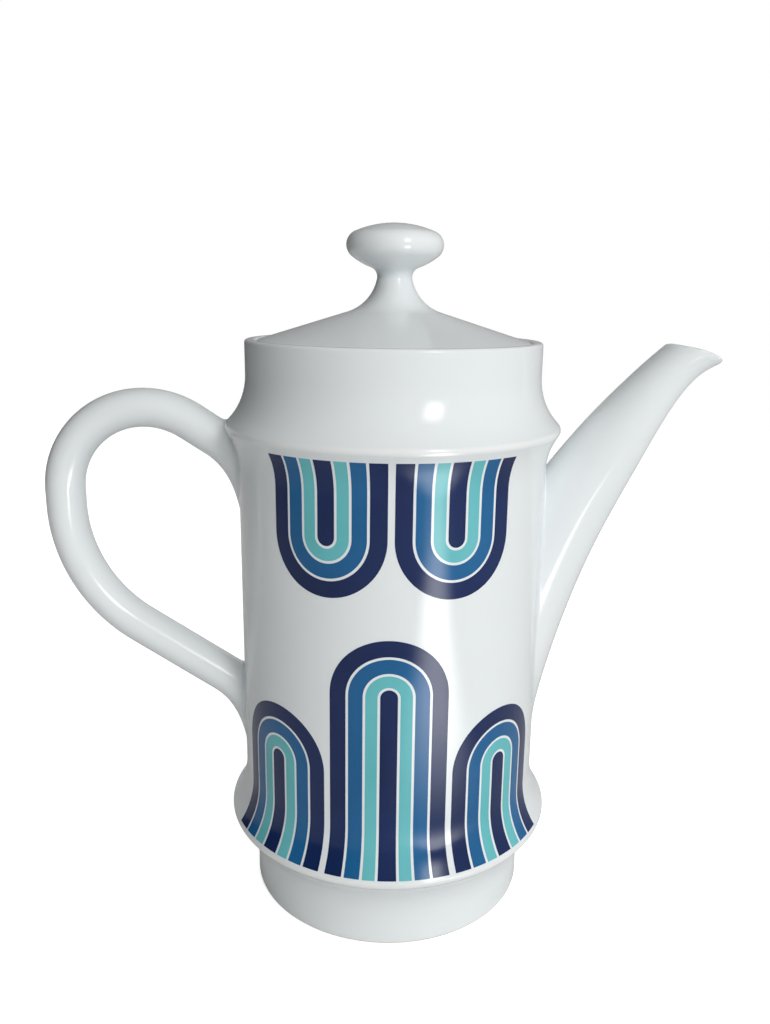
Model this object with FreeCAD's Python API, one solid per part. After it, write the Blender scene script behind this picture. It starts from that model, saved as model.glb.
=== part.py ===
"""Porcelain coffee pot: a cast body with a stuck-on spout and handle, and a lift-off lid.

Millimetres. The origin is on the table at the centre of the foot ring, +Z is up, the spout points
along +X and the handle along -X. The XZ plane is the plane of symmetry.
"""

import FreeCAD
import Part
import math
import os

Vector = FreeCAD.Vector

# Body, outside
BODY_RADIUS = 50.0
RIM_HEIGHT = 187.4
RIM_ROUND = 1.0
COLLAR_SETBACK = 2.8
COLLAR_COVE = 21.0
SHOULDER_DROP = 27.1
SHOULDER_PROUD = 4.0
SHOULDER_ROUND = 2.0
SHOULDER_COVE = 22.0
BASE_HEIGHT = 27.6
BASE_PROUD = 5.2
BASE_ROUND = 2.0
BASE_COVE = 26.0
FOOT_SETBACK = 3.3
FOOT_COVE = 21.0
FOOT_ROUND = 0.8

# Body, inside and underneath
WALL = 3.5
FLOOR = 4.0
FLOOR_ROUND = 9.0
FOOT_RECESS = 2.5
FOOT_RING = 3.6
FOOT_RING_BEVEL = 2.0

# Seat of the lid in the mouth
RIM_LAND = 3.2
SEAT_DEPTH = 3.0
LEDGE_WIDTH = 5.2
LEDGE_THICKNESS = 3.0
LEDGE_ROUND = 0.8
LID_GAP = 0.3
LID_SIDE_GAP = 0.4
FLANGE_GAP = 0.5

# Lid
LID_WALL = 3.2
LID_SLOPE = 17.3
LID_EDGE_STEP = 0.4
LID_EDGE_ROUND = 0.8
FLANGE_DEPTH = 14.0
FLANGE_WALL = 3.0
NECK_RADIUS = 5.5
NECK_COVE = 13.4
NECK_DROP = 2.1
AIR_HOLE = 3.0
AIR_HOLE_PLACE = 26.0

# Knob
KNOB_RADIUS = 15.2
KNOB_EDGE = 4.4
KNOB_DOME = 32.0
KNOB_UNDER = 22.0
KNOB_COVE = 3.0

# Spout
SPOUT_REACH = 37.5
SPOUT_MOUTH = 14.6
SPOUT_MOUTH_WIDTH = 14.6
SPOUT_MOUTH_SLOPE = 16.0
SPOUT_MOUTH_CROWN = 1.3
SPOUT_MOUTH_WALL = 2.0
SPOUT_LIP = 18.5
SPOUT_THROAT_LEAN = 47.0
SPOUT_TOP_DROP = 14.5
SPOUT_TOP_BOW = 1.6
SPOUT_UNDER_RISE = 32.0
SPOUT_UNDER_BOW = 6.4
SPOUT_ROOT_WIDTH = 30.0
SPOUT_WALL = 2.8
SPOUT_STATIONS = (-0.2, 0, 0.25, 0.5, 0.75, 1)
SPOUT_OVERRUN = 1.25
POUR_HOLE_WIDTH = 14.0
POUR_HOLE_HEIGHT = 42.0
POUR_HOLE_RISE = 50.0

# Handle
HANDLE_REACH = 58.6
HANDLE_THICKNESS = 12.6
HANDLE_WIDTH = 14.0
HANDLE_SLOPE = 32.6
HANDLE_BOW = 27.6
HANDLE_BACK = 5.2
HANDLE_UPPER_DROP = 10.3
HANDLE_LOWER_RISE = 39.4
ROOT_LOWER_FLARE = 12.5
ROOT_UPPER_FLARE = 3.0
ROOT_SIDE_FLARE = 4.0
ROOT_LENGTH = 9.0
ROOT_DEPTH = 12.0
BOW_STEPS = 6
BACK_STEPS = 3

# Points on each oval section of the spout and handle
OVAL_POINTS = 16

# Radii and heights that follow from the sizes above
COLLAR_RADIUS = BODY_RADIUS - COLLAR_SETBACK
SHOULDER_RADIUS = BODY_RADIUS + SHOULDER_PROUD
SHOULDER_HEIGHT = RIM_HEIGHT - SHOULDER_DROP
BASE_RADIUS = BODY_RADIUS + BASE_PROUD
FOOT_RADIUS = BODY_RADIUS - FOOT_SETBACK
MOUTH_RADIUS = COLLAR_RADIUS - RIM_LAND
LEDGE_HEIGHT = RIM_HEIGHT - SEAT_DEPTH
LEDGE_RADIUS = MOUTH_RADIUS - LEDGE_WIDTH
LID_RADIUS = MOUTH_RADIUS - LID_SIDE_GAP
LID_UNDERSIDE = LEDGE_HEIGHT + LID_GAP
LID_EDGE_HEIGHT = RIM_HEIGHT - LID_EDGE_STEP
FLANGE_RADIUS = LEDGE_RADIUS - FLANGE_GAP


def at(x, z):
    """A point of the XZ plane."""
    return Vector(x, 0, z)


def heading(degrees):
    """The unit vector of the XZ plane at an angle above +X."""
    return at(math.cos(math.radians(degrees)), math.sin(math.radians(degrees)))


class Outline:
    """A chain of lines and arcs in the XZ plane, drawn from point to point."""

    def __init__(self, start):
        self.start = start
        self.tip = start
        self.edges = []

    def line(self, end):
        """Draw a straight line."""
        self.edges.append(Part.LineSegment(self.tip, end).toShape())
        self.tip = end

    def arc(self, centre, end):
        """Draw the shorter arc about a centre."""
        outwards = (self.tip + end) * 0.5 - centre
        outwards.normalize()
        middle = centre + outwards * centre.distanceToPoint(end)
        self.edges.append(Part.Arc(self.tip, middle, end).toShape())
        self.tip = end

    def ogee(self, end):
        """Carry an upright wall over to another radius with two equal arcs."""
        step = end - self.tip
        radius = step.dot(step) / (4 * step.x)
        middle = (self.tip + end) * 0.5
        self.arc(self.tip + at(radius, 0), middle)
        self.arc(end - at(radius, 0), end)

    def bead(self, height, nose, nose_round, below, above):
        """Run up one wall, over a rounded bead and on to the next wall, through a cove each side.

        Each side is the radius of its wall and the radius of its cove.
        """
        centre = at(nose - nose_round, height)
        low, high = (
            at(wall + cove, height + side * cove_rise(wall, cove, nose, nose_round))
            for side, (wall, cove) in ((-1, below), (1, above))
        )
        self.line(at(below[0], low.z))
        self.arc(low, towards(centre, low, nose_round))
        self.arc(centre, towards(centre, high, nose_round))
        self.arc(high, at(above[0], high.z))

    def revolved(self):
        """The solid that the closed outline sweeps round the axis of the pot."""
        self.line(self.start)
        return Part.Face(Part.Wire(self.edges)).revolve(Vector(), Vector(0, 0, 1), 360)


def towards(start, end, distance):
    """The point at a distance from one point on the way to another."""
    way = end - start
    way.normalize()
    return start + way * distance


def cove_rise(wall, cove, nose, nose_round):
    """The height from the middle of a bead to the end of the cove that leads into it."""
    sideways = wall + cove - (nose - nose_round)
    return math.sqrt((cove + nose_round) ** 2 - sideways**2)


def body_outside():
    """The outline of the body from the edge of the foot up to the rim."""
    outline = Outline(at(FOOT_RADIUS - FOOT_ROUND, 0))
    outline.arc(at(FOOT_RADIUS - FOOT_ROUND, FOOT_ROUND), at(FOOT_RADIUS, FOOT_ROUND))
    outline.bead(
        BASE_HEIGHT, BASE_RADIUS, BASE_ROUND, (FOOT_RADIUS, FOOT_COVE), (BODY_RADIUS, BASE_COVE)
    )
    outline.bead(
        SHOULDER_HEIGHT,
        SHOULDER_RADIUS,
        SHOULDER_ROUND,
        (BODY_RADIUS, SHOULDER_COVE),
        (COLLAR_RADIUS, COLLAR_COVE),
    )
    edge = at(COLLAR_RADIUS - RIM_ROUND, RIM_HEIGHT - RIM_ROUND)
    outline.line(edge + at(RIM_ROUND, 0))
    outline.arc(edge, edge + at(0, RIM_ROUND))
    return outline


def body_filled():
    """The body without its hollow, for pieces that are cut to its outer surface."""
    outline = body_outside()
    outline.line(at(0, RIM_HEIGHT))
    outline.line(at(0, 0))
    return outline.revolved()


def pot_body():
    """The vessel, with the seat for the lid, the foot ring and the pouring hole."""
    outline = body_outside()
    edge = at(MOUTH_RADIUS + RIM_ROUND, RIM_HEIGHT - RIM_ROUND)
    outline.line(edge + at(0, RIM_ROUND))
    outline.arc(edge, edge - at(RIM_ROUND, 0))
    outline.line(at(MOUTH_RADIUS, LEDGE_HEIGHT))
    edge = at(LEDGE_RADIUS + LEDGE_ROUND, LEDGE_HEIGHT - LEDGE_ROUND)
    outline.line(edge + at(0, LEDGE_ROUND))
    outline.arc(edge, edge - at(LEDGE_ROUND, 0))

    collar_bore = COLLAR_RADIUS - WALL
    body_bore = BODY_RADIUS - WALL
    foot_bore = FOOT_RADIUS - WALL
    floor_top = FOOT_RECESS + FLOOR
    ledge_under = LEDGE_HEIGHT - LEDGE_THICKNESS
    shoulder_inside = SHOULDER_HEIGHT - cove_rise(
        BODY_RADIUS, SHOULDER_COVE, SHOULDER_RADIUS, SHOULDER_ROUND
    )
    base_inside = BASE_HEIGHT + cove_rise(BODY_RADIUS, BASE_COVE, BASE_RADIUS, BASE_ROUND)
    outline.line(at(LEDGE_RADIUS, ledge_under))
    outline.line(at(collar_bore, ledge_under - (collar_bore - LEDGE_RADIUS)))
    outline.ogee(at(body_bore, shoulder_inside))
    outline.line(at(body_bore, base_inside))
    outline.ogee(at(foot_bore, floor_top + FLOOR_ROUND))
    outline.arc(
        at(foot_bore - FLOOR_ROUND, floor_top + FLOOR_ROUND), at(foot_bore - FLOOR_ROUND, floor_top)
    )
    outline.line(at(0, floor_top))

    ring_inside = FOOT_RADIUS - FOOT_ROUND - FOOT_RING
    outline.line(at(0, FOOT_RECESS))
    outline.line(at(ring_inside - FOOT_RING_BEVEL, FOOT_RECESS))
    outline.line(at(ring_inside, 0))
    return outline.revolved().cut(pouring_hole())


def pouring_hole():
    """The upright slot with round ends through the body wall behind the spout."""
    half_width = POUR_HOLE_WIDTH / 2
    length = BODY_RADIUS + WALL
    straight = POUR_HOLE_HEIGHT - POUR_HOLE_WIDTH
    low = at(0, BASE_HEIGHT + POUR_HOLE_RISE + half_width)
    high = low + at(0, straight)
    ends = [Part.makeCylinder(half_width, length, end, Vector(1, 0, 0)) for end in (low, high)]
    slot = Part.makeBox(length, POUR_HOLE_WIDTH, straight, low - Vector(0, half_width, 0))
    return slot.multiFuse(ends).removeSplitter()


def oval(centre, across, half_across, half_wide):
    """An oval wire with one axis in the XZ plane, along across, and the other along Y."""
    points = []
    for step in range(OVAL_POINTS):
        angle = 2 * math.pi * step / OVAL_POINTS
        sideways = Vector(0, half_wide * math.sin(angle), 0)
        points.append(centre + across * (half_across * math.cos(angle)) + sideways)
    curve = Part.BSplineCurve()
    curve.interpolate(points, PeriodicFlag=True)
    return Part.Wire(curve.toShape())


class Bow:
    """A shallow arc between two points of the XZ plane, which can be followed past its ends."""

    def __init__(self, start, end, sag):
        chord = end - start
        side = at(-chord.z, chord.x) * (1 / chord.Length)
        radius = (chord.Length**2 / 4 + sag**2) / (2 * sag)
        self.centre = start + chord * 0.5 - side * (radius - sag)
        self.arm = start - self.centre
        self.turn = -2 * math.asin(chord.Length / (2 * radius))

    def radius_at(self, share):
        """The way from the centre to the arc at a share of the way along it."""
        cosine = math.cos(self.turn * share)
        sine = math.sin(self.turn * share)
        return at(self.arm.x * cosine - self.arm.z * sine, self.arm.x * sine + self.arm.z * cosine)

    def point(self, share):
        """The point at a share of the way, which may be under 0 or over 1."""
        return self.centre + self.radius_at(share)

    def course(self, share):
        """The unit vector along the arc at a share of the way."""
        radius = self.radius_at(share)
        return at(radius.z, -radius.x) * math.copysign(1 / radius.Length, -self.turn)


def inset_along(across, course, wall):
    """How far to go in along a section to get the wall's thickness inside an edge on its course."""
    return wall / across.cross(course).Length


def spout_mouth():
    """The highest point of the mouth of the spout and the tip of its lip."""
    throat_top = at(BODY_RADIUS + SPOUT_REACH, RIM_HEIGHT)
    return throat_top, throat_top + heading(-SPOUT_MOUTH_SLOPE) * SPOUT_LIP


def spout_sections(hollow):
    """The sections of the outer skin of the spout, or of its inner skin if hollow is 1."""
    throat_top, lip_tip = spout_mouth()
    throat_under = throat_top + heading(-SPOUT_THROAT_LEAN) * SPOUT_MOUTH
    top = Bow(at(BODY_RADIUS, SHOULDER_HEIGHT - SPOUT_TOP_DROP), throat_top, SPOUT_TOP_BOW)
    under = Bow(at(BODY_RADIUS, BASE_HEIGHT + SPOUT_UNDER_RISE), throat_under, SPOUT_UNDER_BOW)
    stations = [
        (1 - share, top.point(share), top.course(share), under.point(share), under.course(share))
        for share in SPOUT_STATIONS
    ]
    lip = lip_tip - throat_under
    past = lip.Length * SPOUT_OVERRUN
    lip.normalize()
    course = top.course(1)
    stations.append((0, throat_top + course * past, course, throat_under + lip * past, lip))

    sections = []
    for taper, upper, upper_course, lower, lower_course in stations:
        across = upper - lower
        across.normalize()
        wall = hollow * (SPOUT_MOUTH_WALL + taper * (SPOUT_WALL - SPOUT_MOUTH_WALL))
        width = SPOUT_MOUTH_WIDTH + taper * (SPOUT_ROOT_WIDTH - SPOUT_MOUTH_WIDTH)
        upper = upper - across * inset_along(across, upper_course, wall)
        lower = lower + across * inset_along(across, lower_course, wall)
        half_across = upper.distanceToPoint(lower) / 2
        sections.append(oval((upper + lower) * 0.5, across, half_across, width / 2 - wall))
    return sections


def spout():
    """The hollow spout, cut to the body at its root and level with the rim at its mouth."""
    outside = spout_sections(0)
    inside = spout_sections(1)
    faces = Part.makeLoft(outside).Faces + Part.makeLoft(inside).Faces
    for end in (0, -1):
        faces.append(Part.Face([outside[end], inside[end]]))
    skin = Part.Shell(faces)
    skin.sewShape()
    tube = Part.Solid(skin)
    tube.fix(0, 0, 0)

    return tube.cut(body_filled()).cut(above_spout())


def above_spout():
    """The space over the mouth of the spout, which dips in a curve to the tip of the lip."""
    throat_top, lip_tip = spout_mouth()
    crown = Bow(throat_top, lip_tip, SPOUT_MOUTH_CROWN)
    half = 2 * SPOUT_LIP
    corner = Vector(crown.centre.x - half, -half, lip_tip.z)
    space = Part.makeBox(2 * half, 2 * half, half, corner)
    across = Vector(0, 1, 0)
    below = Part.makeCylinder(crown.arm.Length, 2 * half, crown.centre - across * half, across)
    return space.cut(below)


def handle():
    """The ear-shaped handle, with roots that flare down the body."""
    arm = heading(-HANDLE_SLOPE)
    upwards = heading(90 - HANDLE_SLOPE)
    sine = math.sin(math.radians(HANDLE_SLOPE))
    cosine = math.cos(math.radians(HANDLE_SLOPE))
    upper_root = at(-BODY_RADIUS, SHOULDER_HEIGHT - HANDLE_UPPER_DROP)
    lower_root = at(-BODY_RADIUS, BASE_HEIGHT + HANDLE_LOWER_RISE)

    upper_arm = (HANDLE_REACH - HANDLE_BOW * (1 + sine)) / cosine
    bow_centre = upper_root - arm * upper_arm - upwards * HANDLE_BOW
    back_height = bow_centre.z - HANDLE_BACK - lower_root.z - HANDLE_REACH * sine / cosine
    back_bow = back_height / (cosine - (1 - sine) * sine / cosine)
    lower_arm = (HANDLE_REACH - back_bow * (1 - sine)) / cosine
    back_centre = at(bow_centre.x - HANDLE_BOW + back_bow, bow_centre.z - HANDLE_BACK)

    def root_section(root, distance, outwards):
        """The section of an arm at a distance from the wall, flared most on its lower side."""
        near = max(0, ROOT_LENGTH - distance) / (ROOT_LENGTH + ROOT_DEPTH)
        fall = ROOT_LOWER_FLARE * near**2
        rise = ROOT_UPPER_FLARE * near**2
        centre = root - arm * distance + upwards * ((rise - fall) / 2)
        half_across = (HANDLE_THICKNESS + rise + fall) / 2
        half_wide = HANDLE_WIDTH / 2 + ROOT_SIDE_FLARE * near**2
        return oval(centre, outwards, half_across, half_wide)

    def bow_section(centre, radius, degrees):
        """The section of a bend at an angle about its centre."""
        outwards = heading(degrees)
        return oval(centre + outwards * radius, outwards, HANDLE_THICKNESS / 2, HANDLE_WIDTH / 2)

    near_wall = (-ROOT_DEPTH, -ROOT_DEPTH / 2, 0, ROOT_LENGTH / 2, ROOT_LENGTH)
    upper_turn = 90 - HANDLE_SLOPE
    lower_turn = 270 - HANDLE_SLOPE
    sections = [root_section(upper_root, distance, upwards) for distance in near_wall]
    for step in range(BOW_STEPS + 1):
        degrees = upper_turn + (180 - upper_turn) * step / BOW_STEPS
        sections.append(bow_section(bow_centre, HANDLE_BOW, degrees))
    for step in range(BACK_STEPS + 1):
        degrees = 180 + (lower_turn - 180) * step / BACK_STEPS
        sections.append(bow_section(back_centre, back_bow, degrees))
    sections.append(root_section(lower_root, (lower_arm + ROOT_LENGTH) / 2, upwards * -1))
    sections += [root_section(lower_root, distance, upwards * -1) for distance in reversed(near_wall)]
    return Part.makeLoft(sections, True).cut(body_filled())


def lid_normal():
    """The unit vector square to the cone of the lid."""
    return heading(90 - LID_SLOPE)


def lid_cone(radius):
    """The point of the lid's cone at a radius."""
    rise = math.tan(math.radians(LID_SLOPE))
    return at(radius, LID_EDGE_HEIGHT + (LID_RADIUS - radius) * rise)


def neck_coves():
    """The centres of the large cove below the neck and of the small one above it."""
    normal = lid_normal()
    apart = NECK_COVE - KNOB_COVE
    sideways = math.sqrt(apart**2 - NECK_DROP**2)
    small_radius = NECK_RADIUS + KNOB_COVE
    large_radius = small_radius + sideways
    large = lid_cone(large_radius - NECK_COVE * normal.x) + normal * NECK_COVE
    return large, at(small_radius, large.z - NECK_DROP)


def lid_cover():
    """The lid: a cone drawn up to a neck, over a flange that drops into the mouth."""
    normal = lid_normal()
    large, small = neck_coves()
    joint = towards(large, small, NECK_COVE)
    cove_end = large - normal * NECK_COVE
    edge = lid_cone(LID_RADIUS - LID_EDGE_ROUND) - normal * LID_EDGE_ROUND
    outline = Outline(at(0, joint.z))
    outline.line(joint)
    outline.arc(large, cove_end)
    outline.line(edge + normal * LID_EDGE_ROUND)
    outline.arc(edge, edge + at(LID_EDGE_ROUND, 0))
    outline.line(at(outline.tip.x, LID_UNDERSIDE))

    flange_inside = FLANGE_RADIUS - FLANGE_WALL
    flange_round = FLANGE_WALL / 2
    flange_end = at(FLANGE_RADIUS - flange_round, LID_UNDERSIDE - FLANGE_DEPTH + flange_round)
    outline.line(at(FLANGE_RADIUS, LID_UNDERSIDE))
    outline.line(flange_end + at(flange_round, 0))
    outline.arc(flange_end, flange_end - at(0, flange_round))
    outline.arc(flange_end, flange_end - at(flange_round, 0))

    inset = at(0, LID_WALL / normal.z)
    outline.line(lid_cone(flange_inside) - inset)
    outline.line(cove_end - inset)
    outline.line(at(0, outline.tip.z))
    air_hole = Part.makeCylinder(AIR_HOLE / 2, RIM_HEIGHT, Vector(0, AIR_HOLE_PLACE, LID_UNDERSIDE))
    return outline.revolved().cut(air_hole)


def lid_knob():
    """The flattened round knob, with a cove down to the neck of the lid."""
    large, small = neck_coves()
    joint = towards(large, small, NECK_COVE)
    to_edge = KNOB_RADIUS - KNOB_EDGE
    under = at(0, small.z + math.sqrt((KNOB_UNDER + KNOB_COVE) ** 2 - small.x**2))
    edge = at(to_edge, under.z - math.sqrt((KNOB_UNDER - KNOB_EDGE) ** 2 - to_edge**2))
    dome = at(0, edge.z - math.sqrt((KNOB_DOME - KNOB_EDGE) ** 2 - to_edge**2))

    outline = Outline(at(0, joint.z))
    outline.line(joint)
    outline.arc(small, towards(small, under, KNOB_COVE))
    outline.arc(under, towards(under, edge, KNOB_UNDER))
    outline.arc(edge, towards(dome, edge, KNOB_DOME))
    outline.arc(dome, dome + at(0, KNOB_DOME))
    return outline.revolved()


PIECES = (pot_body, spout, handle, lid_cover, lid_knob)

os.makedirs("parts", exist_ok=True)
for piece in PIECES:
    piece().exportStep(f"parts/{piece.__name__}.step")
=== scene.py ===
"""Looks of a porcelain coffee pot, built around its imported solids.

Sizes are written in millimetres and become metres when a mesh is made. The origin is on the table at
the centre of the foot ring, +Z is up, the spout points along +X and the handle along -X.
"""

import logging
import math
from collections.abc import Callable, Sequence
from dataclasses import dataclass, field
from enum import Enum, IntEnum
from typing import ClassVar

import bmesh
import bpy
import numpy as np
from mathutils import Matrix, Vector

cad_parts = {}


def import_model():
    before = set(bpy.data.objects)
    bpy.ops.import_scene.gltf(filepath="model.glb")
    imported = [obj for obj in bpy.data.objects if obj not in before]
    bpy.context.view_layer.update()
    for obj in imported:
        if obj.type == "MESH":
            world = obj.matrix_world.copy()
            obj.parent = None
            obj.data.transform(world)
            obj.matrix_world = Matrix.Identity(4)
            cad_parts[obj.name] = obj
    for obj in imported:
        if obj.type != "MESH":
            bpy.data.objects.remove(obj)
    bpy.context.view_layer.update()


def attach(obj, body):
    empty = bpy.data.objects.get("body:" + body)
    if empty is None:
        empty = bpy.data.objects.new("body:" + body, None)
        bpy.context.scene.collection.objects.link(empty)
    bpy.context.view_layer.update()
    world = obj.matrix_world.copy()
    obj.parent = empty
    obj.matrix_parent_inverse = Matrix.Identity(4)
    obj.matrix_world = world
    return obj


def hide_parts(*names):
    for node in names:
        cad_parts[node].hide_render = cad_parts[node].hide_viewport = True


LOG = logging.getLogger("coffee_pot")

MM = 0.001
ON_AXIS = 1e-6
SAME_POINT = 0.0001
SLIVER = 0.001
SHARP_EDGE = 35.0
SHARP_TUBE_EDGE = 60.0
POOL = "pool"

BMesh = bmesh.types.BMesh
Material = bpy.types.Material
Socket = bpy.types.NodeSocket
Colour = tuple[float, float, float]
Place = tuple[float, float, float]
Span = tuple[float, float]
Row = list[Vector]
Surface = Callable[[float, float], Vector]

RISING: Span = (0.0, 1.0)
FALLING: Span = (1.0, 0.0)


class Body(Enum):
    """The bodies that pieces ride on."""

    POT = "pot"
    LID = "lid"


class Zone(IntEnum):
    """Which finish a band of a turned piece has."""

    GLAZED = 0
    BARE = 1


class Side(Enum):
    """Whether a row of arches stands on the base or hangs from the shoulder."""

    STANDING = 1
    HANGING = -1


# Node trees


@dataclass
class NodeBook:
    """Adds nodes to a tree and wires them."""

    tree: bpy.types.NodeTree

    CLOUDS: ClassVar[Span] = (0.3, 0.7)
    MIX_SOCKETS: ClassVar[dict[str, tuple[tuple[int, int, int], int]]] = {
        "FLOAT": ((0, 2, 3), 0),
        "RGBA": ((0, 6, 7), 2),
    }

    def add(self, kind: str, **settings: object) -> bpy.types.Node:
        """Add a node.

        Args:
            kind: the node's type name.
            settings: values for the node's own properties.

        Returns:
            The new node.
        """
        node = self.tree.nodes.new(kind)
        for name, value in settings.items():
            setattr(node, name, value)
        return node

    def feed(self, source: object, target: Socket) -> None:
        """Give a socket a wire or a plain value.

        Args:
            source: an output socket, or the value itself.
            target: the input socket.
        """
        if isinstance(source, Socket):
            self.tree.links.new(source, target)
        else:
            target.default_value = source

    def wired(self, kind: str, inputs: dict[str, object], **settings: object) -> Socket:
        """Add a node and feed its inputs.

        Args:
            kind: the node's type name.
            inputs: the socket or value for each named input.
            settings: values for the node's own properties.

        Returns:
            The node's first output.
        """
        node = self.add(kind, **settings)
        for name, source in inputs.items():
            self.feed(source, node.inputs[name])
        return node.outputs[0]

    def vector(self, **parts: object) -> Socket:
        """Make a vector of its X, Y and Z."""
        return self.wired("ShaderNodeCombineXYZ", parts)

    def split(self, vector: Socket) -> tuple[Socket, ...]:
        """Take a vector apart into X, Y and Z.

        Args:
            vector: the socket with the vector.

        Returns:
            The sockets with its three parts.
        """
        node = self.add("ShaderNodeSeparateXYZ")
        self.feed(vector, node.inputs[0])
        return tuple(node.outputs)

    def maths(self, operation: str, *values: object) -> Socket:
        """Work out a number.

        Args:
            operation: the name of the sum.
            values: sockets or numbers, in order.

        Returns:
            The socket with the result.
        """
        node = self.add("ShaderNodeMath", operation=operation)
        for value, target in zip(values, node.inputs):
            self.feed(value, target)
        return node.outputs[0]

    def product(self, *values: object) -> Socket:
        """Multiply sockets or numbers.

        Args:
            values: two or more of them.

        Returns:
            The socket with the product.
        """
        result = values[0]
        for value in values[1:]:
            result = self.maths("MULTIPLY", result, value)
        return result

    def noise(self, scale: float, detail: float) -> Socket:
        """Make a soft cloudy value on the piece's own coordinates.

        Args:
            scale: how many clouds there are in a metre.
            detail: how many finer layers there are.

        Returns:
            The socket with the value.
        """
        place = self.add("ShaderNodeTexCoord").outputs["Object"]
        return self.wired("ShaderNodeTexNoise", {"Vector": place, "Scale": scale, "Detail": detail})

    def ramp(self, value: Socket, span: Span, levels: Span, course: str = "SMOOTHSTEP") -> Socket:
        """Go from one level to another.

        Args:
            value: the value to follow.
            span: where the change starts and ends.
            levels: the levels before and after it.
            course: how it goes between them.

        Returns:
            The socket with the level.
        """
        names = ("Value", "From Min", "From Max", "To Min", "To Max")
        inputs = dict(zip(names, (value, *span, *levels)))
        return self.wired("ShaderNodeMapRange", inputs, interpolation_type=course)

    def spread(self, clouds: Socket, levels: Span) -> Socket:
        """Map a cloudy value, which keeps to the middle of 0 to 1, evenly to a range."""
        return self.ramp(clouds, self.CLOUDS, levels, "LINEAR")

    def mix(self, kind: str, *values: object) -> Socket:
        """Mix two numbers or two colours.

        Args:
            kind: the kind of value.
            values: the share of the second, the first and the second.

        Returns:
            The socket with the mixture.
        """
        inputs, output = self.MIX_SOCKETS[kind]
        node = self.add("ShaderNodeMix", data_type=kind)
        for value, number in zip(values, inputs):
            self.feed(value, node.inputs[number])
        return node.outputs[output]

    def tint(self, share: Socket, first: object, second: object) -> Socket:
        """Mix two colours.

        Args:
            share: how much of the second colour there is.
            first: the first colour, or the socket with it.
            second: the second colour, or the socket with it.

        Returns:
            The socket with the mixed colour.
        """
        colours = ((*colour, 1) if isinstance(colour, tuple) else colour for colour in (first, second))
        return self.mix("RGBA", share, *colours)

    def bump(self, height: Socket, distance: float, strength: float, under: Socket | None) -> Socket:
        """Raise a surface a little.

        Args:
            height: the height, as a value about 0 to 1.
            distance: the height that 1 stands for, in metres.
            strength: how much of it shows.
            under: the socket of a bump that this one lies on, if there is one.

        Returns:
            The socket with the normal.
        """
        inputs = {"Height": height, "Distance": distance, "Strength": strength}
        if under is not None:
            inputs["Normal"] = under
        return self.wired("ShaderNodeBump", inputs)


def new_material(name: str) -> tuple[Material, NodeBook, bpy.types.Node]:
    """Start a material.

    Args:
        name: the finish's name.

    Returns:
        The material, its nodes and its main shader.
    """
    material = bpy.data.materials.new(name)
    material.use_nodes = True
    book = NodeBook(material.node_tree)
    return material, book, material.node_tree.nodes["Principled BSDF"]


# Finishes


@dataclass(frozen=True)
class Clouds:
    """A cloudy unevenness of a finish.

    Attributes:
        scale: how many clouds there are in a metre.
        detail: how many finer layers there are.
        height: how high they raise the surface, in metres.
        strength: how much of that shows.
    """

    scale: float
    detail: float
    height: float = 0.0
    strength: float = 0.0

    def value(self, book: NodeBook) -> Socket:
        """The clouds themselves, about 0 to 1."""
        return book.noise(self.scale, self.detail)

    def normal(self, book: NodeBook, value: Socket, under: Socket | None = None) -> Socket:
        """The normal of a surface that the clouds raise, on top of another where there is one."""
        return book.bump(value, self.height, self.strength, under)


GLAZE_IOR = 1.52
WAVES = Clouds(scale=26.0, detail=1.5, height=0.0006, strength=0.35)


@dataclass(frozen=True)
class Glaze:
    """Glossy fired glaze over white porcelain, with its slow waves and fine orange peel.

    It runs thin over edges, where the warm porcelain shows, and pools in hollows, where it is bluer.
    """

    name: str = "glazed_porcelain"
    thin: Colour = (0.805, 0.824, 0.814)
    even: Colour = (0.776, 0.812, 0.82)
    pooled: Colour = (0.706, 0.76, 0.784)
    roughness: Span = (0.06, 0.11)
    peel: Clouds = Clouds(scale=420.0, detail=2.0, height=0.00003, strength=0.25)
    drift: Clouds = Clouds(scale=18.2, detail=3.0)
    drift_depth: Span = (-0.12, 0.25)

    def build(self) -> Material:
        """Make the material.

        Returns:
            The finished material.
        """
        material, book, shader = new_material(self.name)
        peel = self.peel.value(book)
        waves = WAVES.normal(book, WAVES.value(book))
        drift = book.spread(self.drift.value(book), self.drift_depth)
        pool = book.add("ShaderNodeAttribute", attribute_name=POOL)
        depth = book.maths("ADD", pool.outputs["Fac"], drift)
        colour = book.tint(book.ramp(depth, (0.0, 1.0), RISING), self.even, self.pooled)
        colour = book.tint(book.ramp(depth, (-1.0, 0.0), FALLING), colour, self.thin)
        book.feed(colour, shader.inputs["Base Color"])
        book.feed(book.spread(peel, self.roughness), shader.inputs["Roughness"])
        book.feed(self.peel.normal(book, peel, waves), shader.inputs["Normal"])
        shader.inputs["IOR"].default_value = GLAZE_IOR
        return material


@dataclass(frozen=True)
class Biscuit:
    """Bare fired porcelain, matt and a little warm, where a piece stands in the kiln."""

    name: str = "bare_porcelain"
    clean: Colour = (0.74, 0.72, 0.68)
    worn: Colour = (0.62, 0.595, 0.55)
    roughness: Span = (0.55, 0.8)
    grain: Clouds = Clouds(scale=1500.0, detail=4.0, height=0.00008, strength=0.6)
    wear: Clouds = Clouds(scale=60.0, detail=5.0)

    def build(self) -> Material:
        """Make the material.

        Returns:
            The finished material.
        """
        material, book, shader = new_material(self.name)
        grain = self.grain.value(book)
        wear = book.spread(self.wear.value(book), RISING)
        book.feed(book.tint(wear, self.clean, self.worn), shader.inputs["Base Color"])
        book.feed(book.spread(grain, self.roughness), shader.inputs["Roughness"])
        book.feed(self.grain.normal(book, grain), shader.inputs["Normal"])
        return material


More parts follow.
